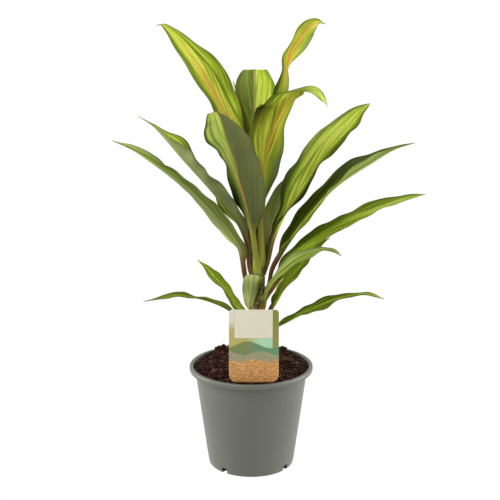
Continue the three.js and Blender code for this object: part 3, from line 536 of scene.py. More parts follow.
def put(value, socket):
    """Links a number to a node's socket, or sets the socket to a plain value."""
    if isinstance(value, Number):
        socket.id_data.links.new(value.socket, socket)
    else:
        socket.default_value = value


def add_node(tree, kind, inputs, output=0, **settings):
    """What one output of a new shader node gives. Its inputs are plain values or other nodes' numbers."""
    made = tree.nodes.new("ShaderNode" + kind)
    for name, value in settings.items():
        setattr(made, name, value)
    for key, value in inputs.items():
        put(value, made.inputs[key])
    return Number(made.outputs[output])


class Number:
    """What a shader node gives: a number, a place or a colour. A sum with it makes that sum's node."""

    def __init__(self, socket):
        self.socket = socket

    def through(self, operation, other=0.0):
        """This number, and another one, put through a Math node."""
        return add_node(self.socket.id_data, "Math", {0: self, 1: other}, operation=operation)

    def __add__(self, other):
        return self.through("ADD", other)

    def __sub__(self, other):
        return self.through("SUBTRACT", other)

    def __mul__(self, other):
        return self.through("MULTIPLY", other)

    def clamped(self):
        """The same number, kept from 0 to 1."""
        self.socket.node.use_clamp = True
        return self


class Finish:
    """A material in the making. Its colours, (red, green, blue) from 0 to 255, are made paint by tint."""

    def __init__(self, name, tint=paint):
        self.material = bpy.data.materials.new(name)
        self.material.use_nodes = True
        self.tree = self.material.node_tree
        self.shader = self.tree.nodes["Principled BSDF"]
        self.tint = tint

    def node(self, kind, inputs, output=0, **settings):
        """What one output of a new node in this material gives."""
        return add_node(self.tree, kind, inputs, output, **settings)

    def read(self, name):
        """A number that the piece holds for each of its points."""
        return self.node("Attribute", {}, "Fac", attribute_name=name)

    def spot(self, scale=(1, 1, 1), middle=(0, 0, 0)):
        """The point on the piece, in metres, scaled and moved."""
        place = self.node("TexCoord", {}, "Object")
        return self.node("Mapping", {"Vector": place, "Location": middle, "Scale": scale})

    def joined(self, x, y, z=0.0):
        """A place made of three numbers."""
        return self.node("CombineXYZ", {0: x, 1: y, 2: z})

    def parts(self, place):
        """The three numbers of a place."""
        first = self.node("SeparateXYZ", {0: place})
        return [Number(socket) for socket in first.socket.node.outputs]

    def noise(self, place, scale, detail=3.0, roughness=0.5):
        """A cloud of smooth random numbers around a half."""
        inputs = {"Vector": place, "Scale": scale, "Detail": detail, "Roughness": roughness}
        return self.node("TexNoise", inputs, "Fac")

    def step(self, value, low, high):
        """A smooth step: 0 at the low mark and 1 at the high one."""
        return self.node("MapRange", {0: value, 1: low, 2: high}, interpolation_type="SMOOTHSTEP")

    def mix(self, share, first, second):
        """Two colours mixed by a share."""
        one, other = (self.tint(*value) if isinstance(value, tuple) else value for value in (first, second))
        return self.node("Mix", {0: share, 6: one, 7: other}, 2, data_type="RGBA")

    def ramp(self, value, stops):
        """A colour for a number: (place, red, green, blue) stops, joined smoothly."""
        made = self.node("ValToRGB", {0: value})
        elements = made.socket.node.color_ramp.elements
        for _ in range(len(stops) - 2):
            elements.new(0.5)
        for element, (place, *colour) in zip(elements, stops):
            element.position = place
            element.color = self.tint(*colour)
        return made

    def bump(self, height, strength, depth=0.0002):
        """The lie of a surface roughened by a height, its depth in metres."""
        return self.node("Bump", {"Strength": strength, "Distance": depth, "Height": height})

    def surface(self, colour, rough, gloss=0.5, lie=None):
        """The material, once the shader has its colour, roughness, gloss and lie."""
        put(colour, self.shader.inputs["Base Color"])
        put(rough, self.shader.inputs["Roughness"])
        put(gloss, self.shader.inputs["Specular IOR Level"])
        if lie:
            put(lie, self.shader.inputs["Normal"])
        return self.material


def leaf_material():
    """The striped leaf: stripes and fine veins that follow the vein coordinate, coloured by brightness and
    warmth, with a coloured midrib and stalk, a thin dark edge and a little light that passes through."""
    skin = Finish("striped_leaf")
    vein, along, seed, tone, warmth = map(skin.read, ("vein", "along", "seed", "tone", "warmth"))
    under, rib, edge, red = map(skin.read, ("under", "rib", "edge", "red"))

    def strands(across, lengthwise, detail):
        """Random streaks along the veins, from how fast they change across and along the leaf."""
        return skin.noise(skin.joined(vein * across, along * lengthwise, seed), 1.0, detail)

    broad = strands(0.42, 0.012, 2) - 0.5
    fine = strands(1.6, 0.03, 2) - 0.5
    hair = strands(3.2, 0.045, 1)
    stripes = broad * 1.1 + fine * 0.9 + (hair - 0.5) * 0.25
    lively = (skin.step(tone, 0.3, 0.75) * 0.6 + 0.4) * skin.step(warmth, -1.6, 0.0)
    lines = skin.step(hair, 0.56, 0.68) * lively * -0.34
    level = (tone + (lines + stripes * lively)).clamped()
    green = skin.ramp(level, [(0.0, 37, 45, 12), (0.2, 64, 81, 20), (0.4, 98, 117, 30),
                              (0.6, 134, 157, 43), (0.8, 172, 195, 55), (1.0, 212, 223, 97)])
    cool = skin.ramp(level, [(0.0, 52, 54, 34), (0.5, 125, 131, 85), (1.0, 182, 193, 131)])
    warm = skin.ramp(level, [(0.0, 80, 54, 20), (0.5, 180, 126, 46), (1.0, 239, 181, 75)])
    blade = skin.mix((warmth * -1.0).clamped(), green, cool)
    blade = skin.mix((warmth * 1.0).clamped(), blade, warm)
    blade = skin.mix(edge * 0.3, blade, (122, 96, 58))
    stalk = skin.ramp(red, [(0.0, 184, 192, 86), (0.2, 156, 138, 56), (0.4, 206, 152, 78),
                            (0.55, 170, 128, 104), (0.75, 136, 90, 56), (1.0, 104, 58, 42)])
    stalk = skin.mix(hair * 0.35, stalk, (60, 44, 24))
    colour = skin.mix(rib, blade, stalk)
    lie = skin.bump(hair, 0.15)
    skin.surface(colour, under * 0.12 + hair * 0.14 + 0.34, 0.0, lie)
    through = skin.node("BsdfTranslucent", {"Color": colour, "Normal": lie})
    both = skin.node("MixShader", {0: 0.16, 1: Number(skin.shader.outputs[0]), 2: through})
    put(both, skin.tree.nodes["Material Output"].inputs["Surface"])
    return skin.material


def pot_material():
    """Moulded grey plastic: faint clouds, fine upright draw marks, a satin surface, and painted shade
    inside the drainage notches."""
    plastic = Finish("grey_pot_plastic")
    clouds = plastic.noise(plastic.spot(), 22, 4)
    draw = plastic.noise(plastic.spot((1, 1, 0.04)), 420, 2)
    grain = plastic.noise(plastic.spot(), 2600, 2)
    colour = plastic.ramp(clouds * 0.75 + draw * 0.25, [(0.25, 85, 87, 77), (0.75, 92, 94, 84)])
    x, y, z = plastic.parts(plastic.spot((1000, 1000, 1000)))
    radius = (x * x + y * y).through("SQRT")
    # Painted shade: the faces inside the drainage notches, near the base, are darkened where the wall
    # shades them
    painted_notch_shade = plastic.step(radius, 41.2, 40.6) * plastic.step(z, 7.5, 6.5)
    colour = plastic.mix(painted_notch_shade, colour, (20, 18, 14))
    return plastic.surface(colour, clouds * 0.12 + 0.36, lie=plastic.bump(draw * 0.35 + grain, 0.06))


def soil_material():
    """Damp peat: near black to red-brown in clods, with a few pale grains."""
    peat = Finish("peat_soil")
    clods = peat.noise(peat.spot(), 190, 5, 0.7)
    grains = peat.step(peat.noise(peat.spot(), 800, 2), 0.7, 0.75)
    colour = peat.ramp(clods, [(0.34, 10, 3, 2), (0.5, 38, 19, 13), (0.66, 86, 50, 35)])
    colour = peat.mix(grains * 0.5, colour, (150, 118, 88))
    return peat.surface(colour, 0.6, 0.04, peat.bump(clods, 0.8, 0.0008))


def fibre_material():
    """Dry plant fibres in the soil."""
    fibre = Finish("dry_fibre")
    streaks = fibre.noise(fibre.spot(), 300, 3)
    return fibre.surface(fibre.ramp(streaks, [(0.3, 70, 44, 30), (0.7, 150, 116, 84)]), 0.7)


def cane_material():
    """Brown bark with olive patches, upright cracks and pale ring scars, read from the scar attribute."""
    bark = Finish("cane_bark", srgb)
    upright = bark.noise(bark.spot((1, 1, 0.18)), 700, 4)
    patches = bark.noise(bark.spot(), 90, 3)
    colour = bark.ramp(upright, [(0.3, 54, 38, 26), (0.7, 118, 92, 58)])
    colour = bark.mix(bark.step(patches, 0.45, 0.65), colour, (96, 92, 48))
    colour = bark.mix(bark.read("scar") * 0.7, colour, (150, 124, 88))
    return bark.surface(colour, 0.75, lie=bark.bump(upright, 0.5, 0.0004))


def label_material():
    """A plain printed card, in millimetres from the label's middle: a bare cream panel on top, over rolling
    hills in olive, mint and teal and a sandy ground with grains and streaks."""
    card = Finish("printed_card")
    middle = (-LABEL_CENTRE_X, 0, -(LABEL_TOP + LABEL_BOTTOM) / 2)
    x, y, z = card.parts(card.spot((1000, 1000, 1000), middle))
    clouds = card.noise(card.joined(x, z), 0.12, 3)
    streaks = card.noise(card.joined(x * 0.3, z), 0.8, 5)
    grains = card.noise(card.joined(x, z), 1.6, 3)

    def above_line(height, sway, pace, start):
        """How far a point is above a rolling line."""
        return z - ((x * pace + start).through("SINE") * sway + height)

    side = card.step(x + clouds * 8, -6.0, 12.0)
    olive = card.mix(card.step(z, 8.0, 26.0), (134, 130, 64), (126, 128, 46))
    pale = card.mix(card.step(z, 14.0, 26.0), (172, 160, 92), (206, 202, 182))
    far = above_line(1.5, 3.2, 0.15, 2.4)
    near = above_line(-6.5, 2.0, 0.2, 0.3)
    waves = card.step((near * 4.5 + clouds * 9).through("SINE"), 0.7, 0.95)
    sand = card.mix(card.step(streaks, 0.38, 0.62), (166, 112, 60), (206, 154, 92))
    away = (x - PANEL_MIDDLE).through("ABSOLUTE")
    inside = (away * -1.0 + PANEL_HALF_WIDTH).through("MINIMUM", z - PANEL_BOTTOM)
    printed = card.mix(side, (170, 160, 84), (158, 200, 160))
    for share, layer in (
            (card.step(x, STRIP_START, STRIP_START + 0.4), olive),
            (card.step(x, -STRIP_START - 0.2, -STRIP_START - 1), pale),
            (card.step(far, 0.5, -0.5), card.mix(side, (112, 124, 72), (92, 134, 100))),
            (card.step(near, 1.2, -1.2), card.mix(streaks, (92, 94, 66), (168, 160, 118))),
            (waves * (card.step(near, 0.6, -0.6) * 0.45), (206, 204, 176)),
            (card.step(above_line(-14.0, 1.2, 0.24, 1.5), 0.8, -0.8),
             card.mix(card.step(grains, 0.58, 0.7) * 0.7, sand, (226, 196, 142))),
            (card.step(inside, -1.0, 0.0) * 0.35, (96, 96, 72)),
            (card.step(inside, -0.15, 0.15), card.mix(clouds, (203, 198, 175), (212, 207, 185))),
            (card.step(z, -34.6, -35.2), (52, 38, 28))):
        printed = card.mix(share, printed, layer)
    front = card.step(y * -1.0, 0.2 - LABEL_Y, 0.3 - LABEL_Y)
    colour = card.mix(front, (214, 212, 200), printed)
    return card.surface(colour, 0.42, 0.25, card.bump(card.noise(card.spot(), 1800, 2), 0.05))


def floor_material():
    """A lit white backdrop, as bright as the sky round it."""
    backdrop = Finish("studio_white")
    put((1, 1, 1, 1), backdrop.shader.inputs["Emission Color"])
    put(SKY_STRENGTH, backdrop.shader.inputs["Emission Strength"])
    return backdrop.surface((0, 0, 0, 1), 0.5, 0.0)


# The leaves

def cane_at(height):
    """The cane's centre and radius at a height."""
    return [np.interp(height, CANE[:, 0], CANE[:, k]) for k in (1, 2, 3)]


def midrib_of(leaf):
    """The midrib as evenly spaced points, and its length: a centripetal Catmull-Rom curve from the cane
    through the spine. Between two points it is the cubic whose slopes come from the square roots of the
    chord lengths."""
    x, y, radius = cane_at(leaf["height"])
    heading = np.radians(leaf["bearing"])
    out = np.array([np.cos(heading), np.sin(heading), 0])
    base = np.array([x, y, leaf["height"]])
    start = [base]
    if not leaf["from_top"]:
        base = base + (radius + BASE_CLEARANCE) * out
        lean = next(lean for height, lean in FIRST_LEANS if leaf["height"] > height)
        start = [base, base + lean * out + np.array([0, 0, FIRST_RISE])]
    points = np.vstack([start, leaf["spine"]]).astype(float)
    padded = np.vstack([2 * points[0] - points[1], points, 2 * points[-1] - points[-2]])
    t = np.linspace(0, 1, 40, endpoint=False)[:, None]
    pieces = []
    for p0, p1, p2, p3 in zip(padded, padded[1:], padded[2:], padded[3:]):
        d0, d1, d2 = (np.linalg.norm(b - a) ** 0.5 for a, b in ((p0, p1), (p1, p2), (p2, p3)))
        s1 = ((p1 - p0) / d0 - (p2 - p0) / (d0 + d1) + (p2 - p1) / d1) * d1
        s2 = ((p2 - p1) / d1 - (p3 - p1) / (d1 + d2) + (p3 - p2) / d2) * d1
        square, cube = 3 * (p2 - p1) - 2 * s1 - s2, 2 * (p1 - p2) + s1 + s2
        pieces.append(p1 + s1 * t + square * t ** 2 + cube * t ** 3)
    curve = np.vstack(pieces + [points[-1:]])
    walked = np.r_[0, np.cumsum(np.linalg.norm(np.diff(curve, axis=0), axis=1))]
    even = np.linspace(0, walked[-1], MIDRIB_SAMPLES)
    return np.stack([np.interp(even, walked, curve[:, k]) for k in range(3)], 1), walked[-1]


def leaf_sheet(leaf, number):
    """The middle of one leaf as a grid, with what its skins and colours need.
    Each half leaves the midrib at the fold angle and curls up along a circle, so the stalk is a channel.
    The blade's half width is a power curve that swells and tapers, less the nips on one side or the other,
    and its edge ripples with the square of the distance across. Slow waves keep it from lying flat."""
    fine, length = midrib_of(leaf)
    tangent = unit(np.gradient(fine, axis=0))
    t_fine = np.linspace(0, 1, len(fine))
    faces = np.radians(leaf["faces"])
    level = np.array([-np.sin(faces), np.cos(faces), 0])
    side = unit(level - (tangent @ level)[:, None] * tangent)
    upper = np.cross(tangent, side)
    turn = 0 if leaf["from_top"] else (leaf["bearing"] - leaf["faces"] + 180) % 360 - 180
    roll = np.radians(eased(t_fine, [(0, turn), *leaf["roll"]]))[:, None]
    across_fine = side * np.cos(roll) + upper * np.sin(roll)
    lift_fine = upper * np.cos(roll) - side * np.sin(roll)
    rows = max(LEAF_ROWS_AT_LEAST, int(length / LEAF_STEP)) + 1
    t = np.linspace(0, 1, rows)
    at_rows = lambda values: np.stack([np.interp(t, t_fine, values[:, k]) for k in range(3)], 1)[:, None]
    point, across, lift = map(at_rows, (fine, across_fine, lift_fine))
    stalk, stalk_half = leaf["stalk"], leaf["stalk_half"]
    u = np.clip((t - stalk) / (1 - stalk), 0, 1)
    widest = RISE_POWER / (RISE_POWER + leaf["taper"])
    blade = leaf["width"] / 2 * (u / widest) ** RISE_POWER * ((1 - u) / (1 - widest)) ** leaf["taper"]
    slim = eased(t, [(0, BASE_HALF_WIDTH), (0.45 * stalk, stalk_half), (stalk, stalk_half),
                     (min(1, stalk + 0.5), BLADE_HALF_WIDTH_AT_LEAST), (1, TIP_HALF_WIDTH)])
    half = np.hypot(blade, slim)[:, None]
    spread = np.linspace(-1, 1, 2 * LEAF_HALF_COLUMNS + 1)
    q = (np.sign(spread) * np.abs(spread) ** COLUMN_CROWDING)[None]
    trim = np.ones((rows, q.shape[1]))
    for place, edge, span, share in leaf["nips"]:
        trim = trim - share * np.exp(-((t[:, None] - place) / span) ** 2) * (q * edge > 0)
    half = half * trim
    fold = np.radians(eased(t, [(0, 0), (CUP_PLACE, leaf["cup"]), *leaf["fold"]]))[:, None]
    curl = np.radians(eased(t, [(0, BASE_CURL), (0.5 * stalk, STALK_CURL), (stalk, STALK_END_CURL),
                                (stalk + 0.12, BLADE_CURL), (1, BLADE_CURL)]))[:, None]
    reach = np.abs(q)
    sideways = half * (np.sin(fold + curl * reach) - np.sin(fold)) / curl * np.sign(q)
    upwards = half * (np.cos(fold) - np.cos(fold + curl * reach)) / curl
    swell = np.maximum(0, np.sin(np.pi * u))[:, None] ** SWELL_POWER
    wave = 2 * np.pi * leaf["waves"] * u[:, None] + leaf["phase"] + np.where(q >= 0, RIGHT_EDGE_LAG, 0)
    upwards = upwards + leaf["ripple"] * swell * reach ** 2 * np.sin(wave)
    along = (t * length)[:, None]
    slow = SLOW_EDGE * np.sin(SLOW_EDGE_PACE * wave + number) * reach ** 2
    slow = slow + SLOW_HALF * np.sin(along / SLOW_HALF_LENGTH + number + 2 * q) * reach
    upwards = upwards + slow * swell
    grid = point + across * sideways[..., None] + lift * upwards[..., None]
    return dict(grid=grid, lift=lift, t=t[:, None], q=q, half=half, along=along, u=u[:, None])


def leaf_piece(leaf, number, material):
    """One closed leaf: an upper and an under skin on either side of the sheet, joined round the edge.
    The upper skin has a groove along the midrib and shallow veins, and the under skin has the midrib's
    round ridge and the thick stalk. Its colour numbers are worked out for each point."""
    sheet = leaf_sheet(leaf, number)
    grid, t, q, half = sheet["grid"], sheet["t"], sheet["q"], sheet["half"]
    stalk_end = leaf["stalk"]
    normal = unit(np.cross(np.gradient(grid, axis=0), np.gradient(grid, axis=1)))
    narrow = 1 - np.clip((half - NARROW_HALF_WIDTH) / NARROW_FADE, 0, 1)[..., None]
    normal = unit(normal * (1 - narrow) + sheet["lift"] * narrow)
    distance = np.abs(q) * half
    from_edge = (1 - np.abs(q)) * half
    vein = np.abs(q) * np.minimum(leaf["width"] / 2, VEIN_CROWDING * half) - VEIN_SLANT * sheet["along"]
    veins = VEIN_RELIEF * np.sin(2 * np.pi * vein / VEIN_SPACING) * np.sin(np.pi * sheet["u"])
    thick = EDGE_THICKNESS + (BLADE_THICKNESS - EDGE_THICKNESS) * (1 - np.abs(q) ** 5) * np.ones_like(t)
    rib_width = eased(t, [(0, RIB_AT_CANE), (stalk_end, RIB_AT_STALK_END), (1, RIB_AT_TIP)])
    ridge_shape = np.exp(-(distance / rib_width) ** 2)
    groove = MIDRIB_GROOVE * eased(t, [(0, 0), (stalk_end, 1), (0.9, 0.5), (1, 0)])
    ridge = MIDRIB_RIDGE * eased(t, [(0, 0), (stalk_end, 1), (0.6, 0.4), (1, 0.05)])
    stalk = STALK_EXTRA * eased(t, [(0, 0.3), (0.5 * stalk_end, 1), (stalk_end + 0.2, 0)])
    above = thick / 2 - groove * ridge_shape + veins
    below = thick / 2 + ridge * ridge_shape + stalk * (1 - 0.6 * q ** 2) - veins
    points = np.vstack([(grid + normal * above[..., None]).reshape(-1, 3),
                        (grid - normal * below[..., None]).reshape(-1, 3)])
    rows, columns = grid.shape[:2]
    back = rows * columns
    i, j = np.meshgrid(np.arange(rows - 1), np.arange(columns - 1), indexing="ij")
    a = (i * columns + j).ravel()
    top = np.stack([a, a + columns, a + columns + 1, a + 1], -1)
    faces = [*top.tolist(), *(top[:, ::-1] + back).tolist()]
    left = np.arange(rows - 1) * columns
    right = left + columns - 1
    start = np.arange(columns - 1)
    tip = start + (rows - 1) * columns
    for near, far in ((left, left + columns), (tip, tip + 1)):
        faces += np.stack([near, near + back, far + back, far], -1).tolist()
    for near, far in ((right, right + columns), (start, start + 1)):
        faces += np.stack([near, far, far + back, near + back], -1).tolist()
    piece = make_piece(leaf["name"] + "_blade", points, faces, material, [leaf["name"]], 50)
    full = np.ones((rows, columns))
    tone = eased(q, [(place, value) for place, value, _ in leaf["bands"]]) * full
    warmth = eased(q, [(place, value) for place, _, value in leaf["bands"]]) * full
    for place, middle, length, breadth, brighter, warmer in leaf["patches"]:
        spot = np.exp(-((t - place) / length) ** 2 - ((q - middle) / breadth) ** 2)
        tone, warmth = tone + brighter * spot, warmth + warmer * spot
    tone = tone - SHADE * np.exp(-(from_edge / SHADE_REACH) ** 2)
    blade_rib = np.exp(-(distance / RIB_REACH) ** 2)
    blade_rib = blade_rib * eased(t, [(0, 1), (stalk_end, 0.95), (0.8, 0.75), (1, 0.5)])
    on_stalk = 1 - np.clip((t - 0.8 * stalk_end) / (0.45 * stalk_end), 0, 1) * full
    on_stalk = on_stalk * (1 - leaf["wings"] * np.clip((np.abs(q) - 0.45) / 0.3, 0, 1))
    seed = LEAF_SEED * number + np.where(q >= 0, HALF_SEED, 0)
    numbers = dict(vein=vein, along=sheet["along"], tone=tone, warmth=warmth, red=eased(t, leaf["red"]),
                   rib=np.maximum(blade_rib, on_stalk), seed=seed,
                   edge=np.exp(-(from_edge / LINE_REACH) ** 2) * np.sin(np.pi * sheet["u"]) ** 0.3)
    for name, values in numbers.items():
        add_attribute(piece, name, np.tile((values * full).ravel(), 2))
    add_attribute(piece, "under", np.repeat([0.0, 1.0], back))
    return piece


# Pot, soil, cane and label

def pot_wall_radius(height):
    """The pot's outer radius below the neck: a straight line from the base's radius to the neck's."""
    neck = POT_HEIGHT - POT_RIM_BAND
    return POT_BASE_RADIUS + (POT_NECK_RADIUS - POT_BASE_RADIUS) * height / neck


def arc(centre, radius, start, end, count=6):
    """Points on part of a circle, its angles in degrees."""
    turn = np.radians(np.linspace(start, end, count))
    return [(centre[0] + radius * np.cos(a), centre[1] + radius * np.sin(a)) for a in turn]


def pot_piece():
    """The pot: a (radius, height) profile with round edges turned on its axis, and four notches cut out of
    its base edge."""
    neck = POT_HEIGHT - POT_RIM_BAND
    lip = POT_RIM_RADIUS - POT_RIM_LIP
    inside = lambda height: pot_wall_radius(height) - POT_WALL
    profile = [(20, 0), (POT_BASE_RADIUS - 3, 0)]
    profile += arc((POT_BASE_RADIUS + 0.1 - BASE_ROUND, BASE_ROUND), BASE_ROUND, -88, -5)
    profile += [(pot_wall_radius(z), z) for z in np.linspace(8, neck - 2, 12)]
    profile += arc((POT_NECK_RADIUS + NECK_ROUND, neck - NECK_ROUND), NECK_ROUND, 172, 92, 4)
    profile += arc((POT_RIM_RADIUS - BAND_ROUND, neck + 0.7 + BAND_ROUND), BAND_ROUND, -62, -2)
    profile += arc((POT_RIM_RADIUS - LIP_ROUND, POT_HEIGHT - LIP_ROUND), LIP_ROUND, 2, 88, 7)
    profile += arc((lip + LIP_INNER_ROUND, POT_HEIGHT - LIP_INNER_ROUND), LIP_INNER_ROUND, 92, 178)
    profile += [(lip - 0.3, neck + 1.6), (inside(neck - 2), neck - 2), (inside(40), 40)]
    profile += [(inside(POT_FLOOR + 1), POT_FLOOR + 1), (inside(POT_FLOOR) - 1, POT_FLOOR)]
    radii, heights = np.array(profile, float).T[:, :, None]
    rings = round_rings(radii, heights, POT_SIDES)
    points, faces = closed_rings(rings, [0, 0, 0], [0, 0, POT_FLOOR])
    pot = make_piece("nursery_pot", points, faces, pot_material(), ["pot"])
    for k in range(NOTCH_COUNT):
        cutter = notch_cutter(NOTCH_FIRST_BEARING + 360 * k / NOTCH_COUNT)
        cut = pot.modifiers.new("notch", "BOOLEAN")
        cut.operation = "DIFFERENCE"
        cut.object = cutter
        cut.solver = "EXACT"
        apply_modifiers(pot)
        bpy.data.objects.remove(cutter)
    pot.data.polygons.foreach_set("use_smooth", np.ones(len(pot.data.polygons), bool))
    pot.data.set_sharp_from_angle(angle=np.radians(POT_SHARP_EDGE))
    return pot


def notch_cutter(bearing):
    """A block with a rounded roof that stands across the base edge at a bearing."""
    half = NOTCH_WIDTH / 2
    corner = half - NOTCH_ROUND
    roof = NOTCH_HEIGHT - NOTCH_ROUND
    outline = [(-half, -1), (half, -1), *arc((corner, roof), NOTCH_ROUND, 0, 90, 4),
               *arc((-corner, roof), NOTCH_ROUND, 90, 180, 4)]
    turn = np.radians(bearing)
    points = []
    for depth in (POT_BASE_RADIUS + NOTCH_REACH, POT_BASE_RADIUS - NOTCH_REACH):
        points += [(x * np.sin(turn) + depth * np.cos(turn), depth * np.sin(turn) - x * np.cos(turn), z)
                   for x, z in outline]
    count = len(outline)
    faces = [[k, (k + 1) % count, (k + 1) % count + count, k + count] for k in range(count)]
    faces += [list(range(count))[::-1], list(range(count, 2 * count))]
    return add_mesh("notch_block", points, faces)


def apply_modifiers(piece):
    """Makes a piece's modifiers part of its mesh."""
    graph = bpy.context.evaluated_depsgraph_get()
    mesh = bpy.data.meshes.new_from_object(piece.evaluated_get(graph))
    piece.modifiers.clear()
    piece.data = mesh


def soil_heap(x, y):
    """The heaps of loose soil against the back wall, each a bell with its own breadth and depth."""
    return sum(height * np.exp(-((x - left) ** 2 / breadth + (y - back) ** 2 / depth))
               for height, left, back, breadth, depth in SOIL_HEAPS)


def soil_height(x, y):
    """The soil's surface: a low round mound on a straight rise to the back, with lumps from crossed sine
    waves and the heaps, both fading out at the wall."""
    r = np.hypot(x, y) / SOIL_TOP_RADIUS
    lumps = 1.5 * np.sin(x / 5.1 + 0.6) * np.sin(y / 4.3 + 1.1)
    lumps = lumps + 1.1 * np.sin((x + y) / 7.7 + 2.0) + 0.8 * np.sin((x - 2 * y) / 9.1 + 0.4)
    back = SOIL_BACK_RISE * (0.5 + 0.5 * y / SOIL_TOP_RADIUS)
    mound = SOIL_MOUND * (1 - r * r)
    return SOIL_EDGE_HEIGHT + back + mound + lumps * (1 - r ** 6) + soil_heap(x, y) * (1 - r ** 24)


def soil_piece(material):
    """The soil as a closed body: its surface on rings, roughened by three sizes of random lumps, over the
    pot's inner shape."""
    radii = np.r_[np.linspace(1.2, 54.2, 84), SOIL_TOP_RADIUS][:, None]
    top = round_rings(radii, 0.0, SOIL_SIDES)
    x, y = top[..., 0], top[..., 1]
    rough = sum(height * value_noise(x, y, cell, seed) for height, cell, seed in SOIL_LUMPS)
    top[..., 2] = soil_height(x, y) + rough * (1 - (radii / SOIL_TOP_RADIUS) ** 20)
    wall = [(pot_wall_radius(z) - POT_WALL - SOIL_GAP, z) for z in (SOIL_UNDERSIDE, 48, 92)]
    radii, heights = np.array([*wall, (SOIL_TOP_RADIUS, 95.4)]).T[:, :, None]
    rings = np.vstack([round_rings(radii, heights, SOIL_SIDES), top[::-1]])
    points, faces = closed_rings(rings, [0, 0, SOIL_UNDERSIDE], [0, 0, soil_height(0, 0)])
    return make_piece("potting_soil", points, faces, material, ["soil"])


def soil_crumbs(material):
    """Loose crumbs spread evenly on the soil, larger at the back and on the heaps: twenty-sided lumps,
    squashed and turned at random."""
    rng = np.random.default_rng(CRUMB_SEED)
    golden = (1 + 5 ** 0.5) / 2
    corners = np.array([(-1, golden, 0), (1, golden, 0), (-1, -golden, 0), (1, -golden, 0), (0, -1, golden),
                        (0, 1, golden), (0, -1, -golden), (0, 1, -golden), (golden, 0, -1), (golden, 0, 1),
                        (-golden, 0, -1), (-golden, 0, 1)]) / np.hypot(1, golden)
    sides = np.array([(0, 11, 5), (0, 5, 1), (0, 1, 7), (0, 7, 10), (0, 10, 11), (1, 5, 9), (5, 11, 4),
                      (11, 10, 2), (10, 7, 6), (7, 1, 8), (3, 9, 4), (3, 4, 2), (3, 2, 6), (3, 6, 8),
                      (3, 8, 9), (4, 9, 5), (2, 4, 11), (6, 2, 10), (8, 6, 7), (9, 8, 1)])
    radius = CRUMB_REACH * np.sqrt(rng.uniform(0, 1, CRUMB_COUNT))
    turn = rng.uniform(0, 2 * np.pi, CRUMB_COUNT)
    x, y = radius * np.cos(turn), radius * np.sin(turn)
    size = rng.uniform(*CRUMB_SIZES, CRUMB_COUNT)
    size = size + CRUMB_EXTRA * (rng.uniform(0, 1, CRUMB_COUNT) ** 4) * (0.6 + 0.4 * y / SOIL_TOP_RADIUS)
    size = size * (1 + 0.16 * soil_heap(x, y))
    shape = corners[None] * rng.uniform(0.6, 1.25, (CRUMB_COUNT, len(corners), 1))
    shape = shape * (size[:, None, None] * np.array([1, 1, 0.75]))
    cos, sin = np.cos(turn * 7)[:, None], np.sin(turn * 7)[:, None]
    spun = np.stack([shape[..., 0] * cos - shape[..., 1] * sin, shape[..., 0] * sin + shape[..., 1] * cos,
                     shape[..., 2]], -1)
    centre = np.stack([x, y, soil_height(x, y) + 0.35 * size], -1)
    room = np.hypot(x, y) + size < CRUMB_LIMIT
    spun, centre = spun[room], centre[room]
    points = (spun + centre[:, None]).reshape(-1, 3)
    faces = (sides[None] + len(corners) * np.arange(len(centre))[:, None, None]).reshape(-1, 3)
    return make_piece("soil_crumbs", points, faces.tolist(), material)


def tube_through(path, radii, sides):
    """Points and faces of a round tube along a path: a ring square to the path at each point, and a point
    on each end."""
    ahead = unit(np.gradient(path, axis=0))
    helper = np.where(np.abs(ahead[:, 2:]) > 0.9, [[1.0, 0, 0]], [[0, 0, 1.0]])
    first = unit(np.cross(helper, ahead))
    second = np.cross(ahead, first)
    turn = np.linspace(0, 2 * np.pi, sides, endpoint=False)[None, :, None]
    round_path = first[:, None] * np.cos(turn) + second[:, None] * np.sin(turn)
    return closed_rings(path[:, None] + radii[:, None, None] * round_path, path[0], path[-1])


def soil_fibres():
    """Dry fibres lying on the soil: short strands through a random point, whose direction from it turns
    evenly by a random angle, arched a little in the middle and thinner at the ends."""
    rng = np.random.default_rng(FIBRE_SEED)
    step = np.linspace(-0.5, 0.5, 7)
    thickness = FIBRE_RADIUS * np.cos(2.4 * step) + 0.04
    points, faces = [], []
    for _ in range(FIBRE_COUNT):
        radius, turn = FIBRE_REACH * rng.uniform(0, 1) ** 0.5, rng.uniform(0, 2 * np.pi)
        heading, length = rng.uniform(0, 2 * np.pi), rng.uniform(*FIBRE_LENGTHS)
        bend = heading + rng.uniform(-FIBRE_BEND, FIBRE_BEND) * step
        x = radius * np.cos(turn) + length * step * np.cos(bend)
        y = radius * np.sin(turn) + length * step * np.sin(bend)
        shrink = np.minimum(1, FIBRE_LIMIT / np.maximum(np.hypot(x, y), 1))
        x, y = x * shrink, y * shrink
        z = soil_height(x, y) + 0.75 + 0.5 * np.cos(np.pi * step) * rng.uniform(0, 1)
        strand, sides = tube_through(np.stack([x, y, z], -1), thickness, 5)
        faces += [[index + len(points) for index in face] for face in sides]
        points += strand.tolist()
    return make_piece("soil_fibres", points, faces, fibre_material())


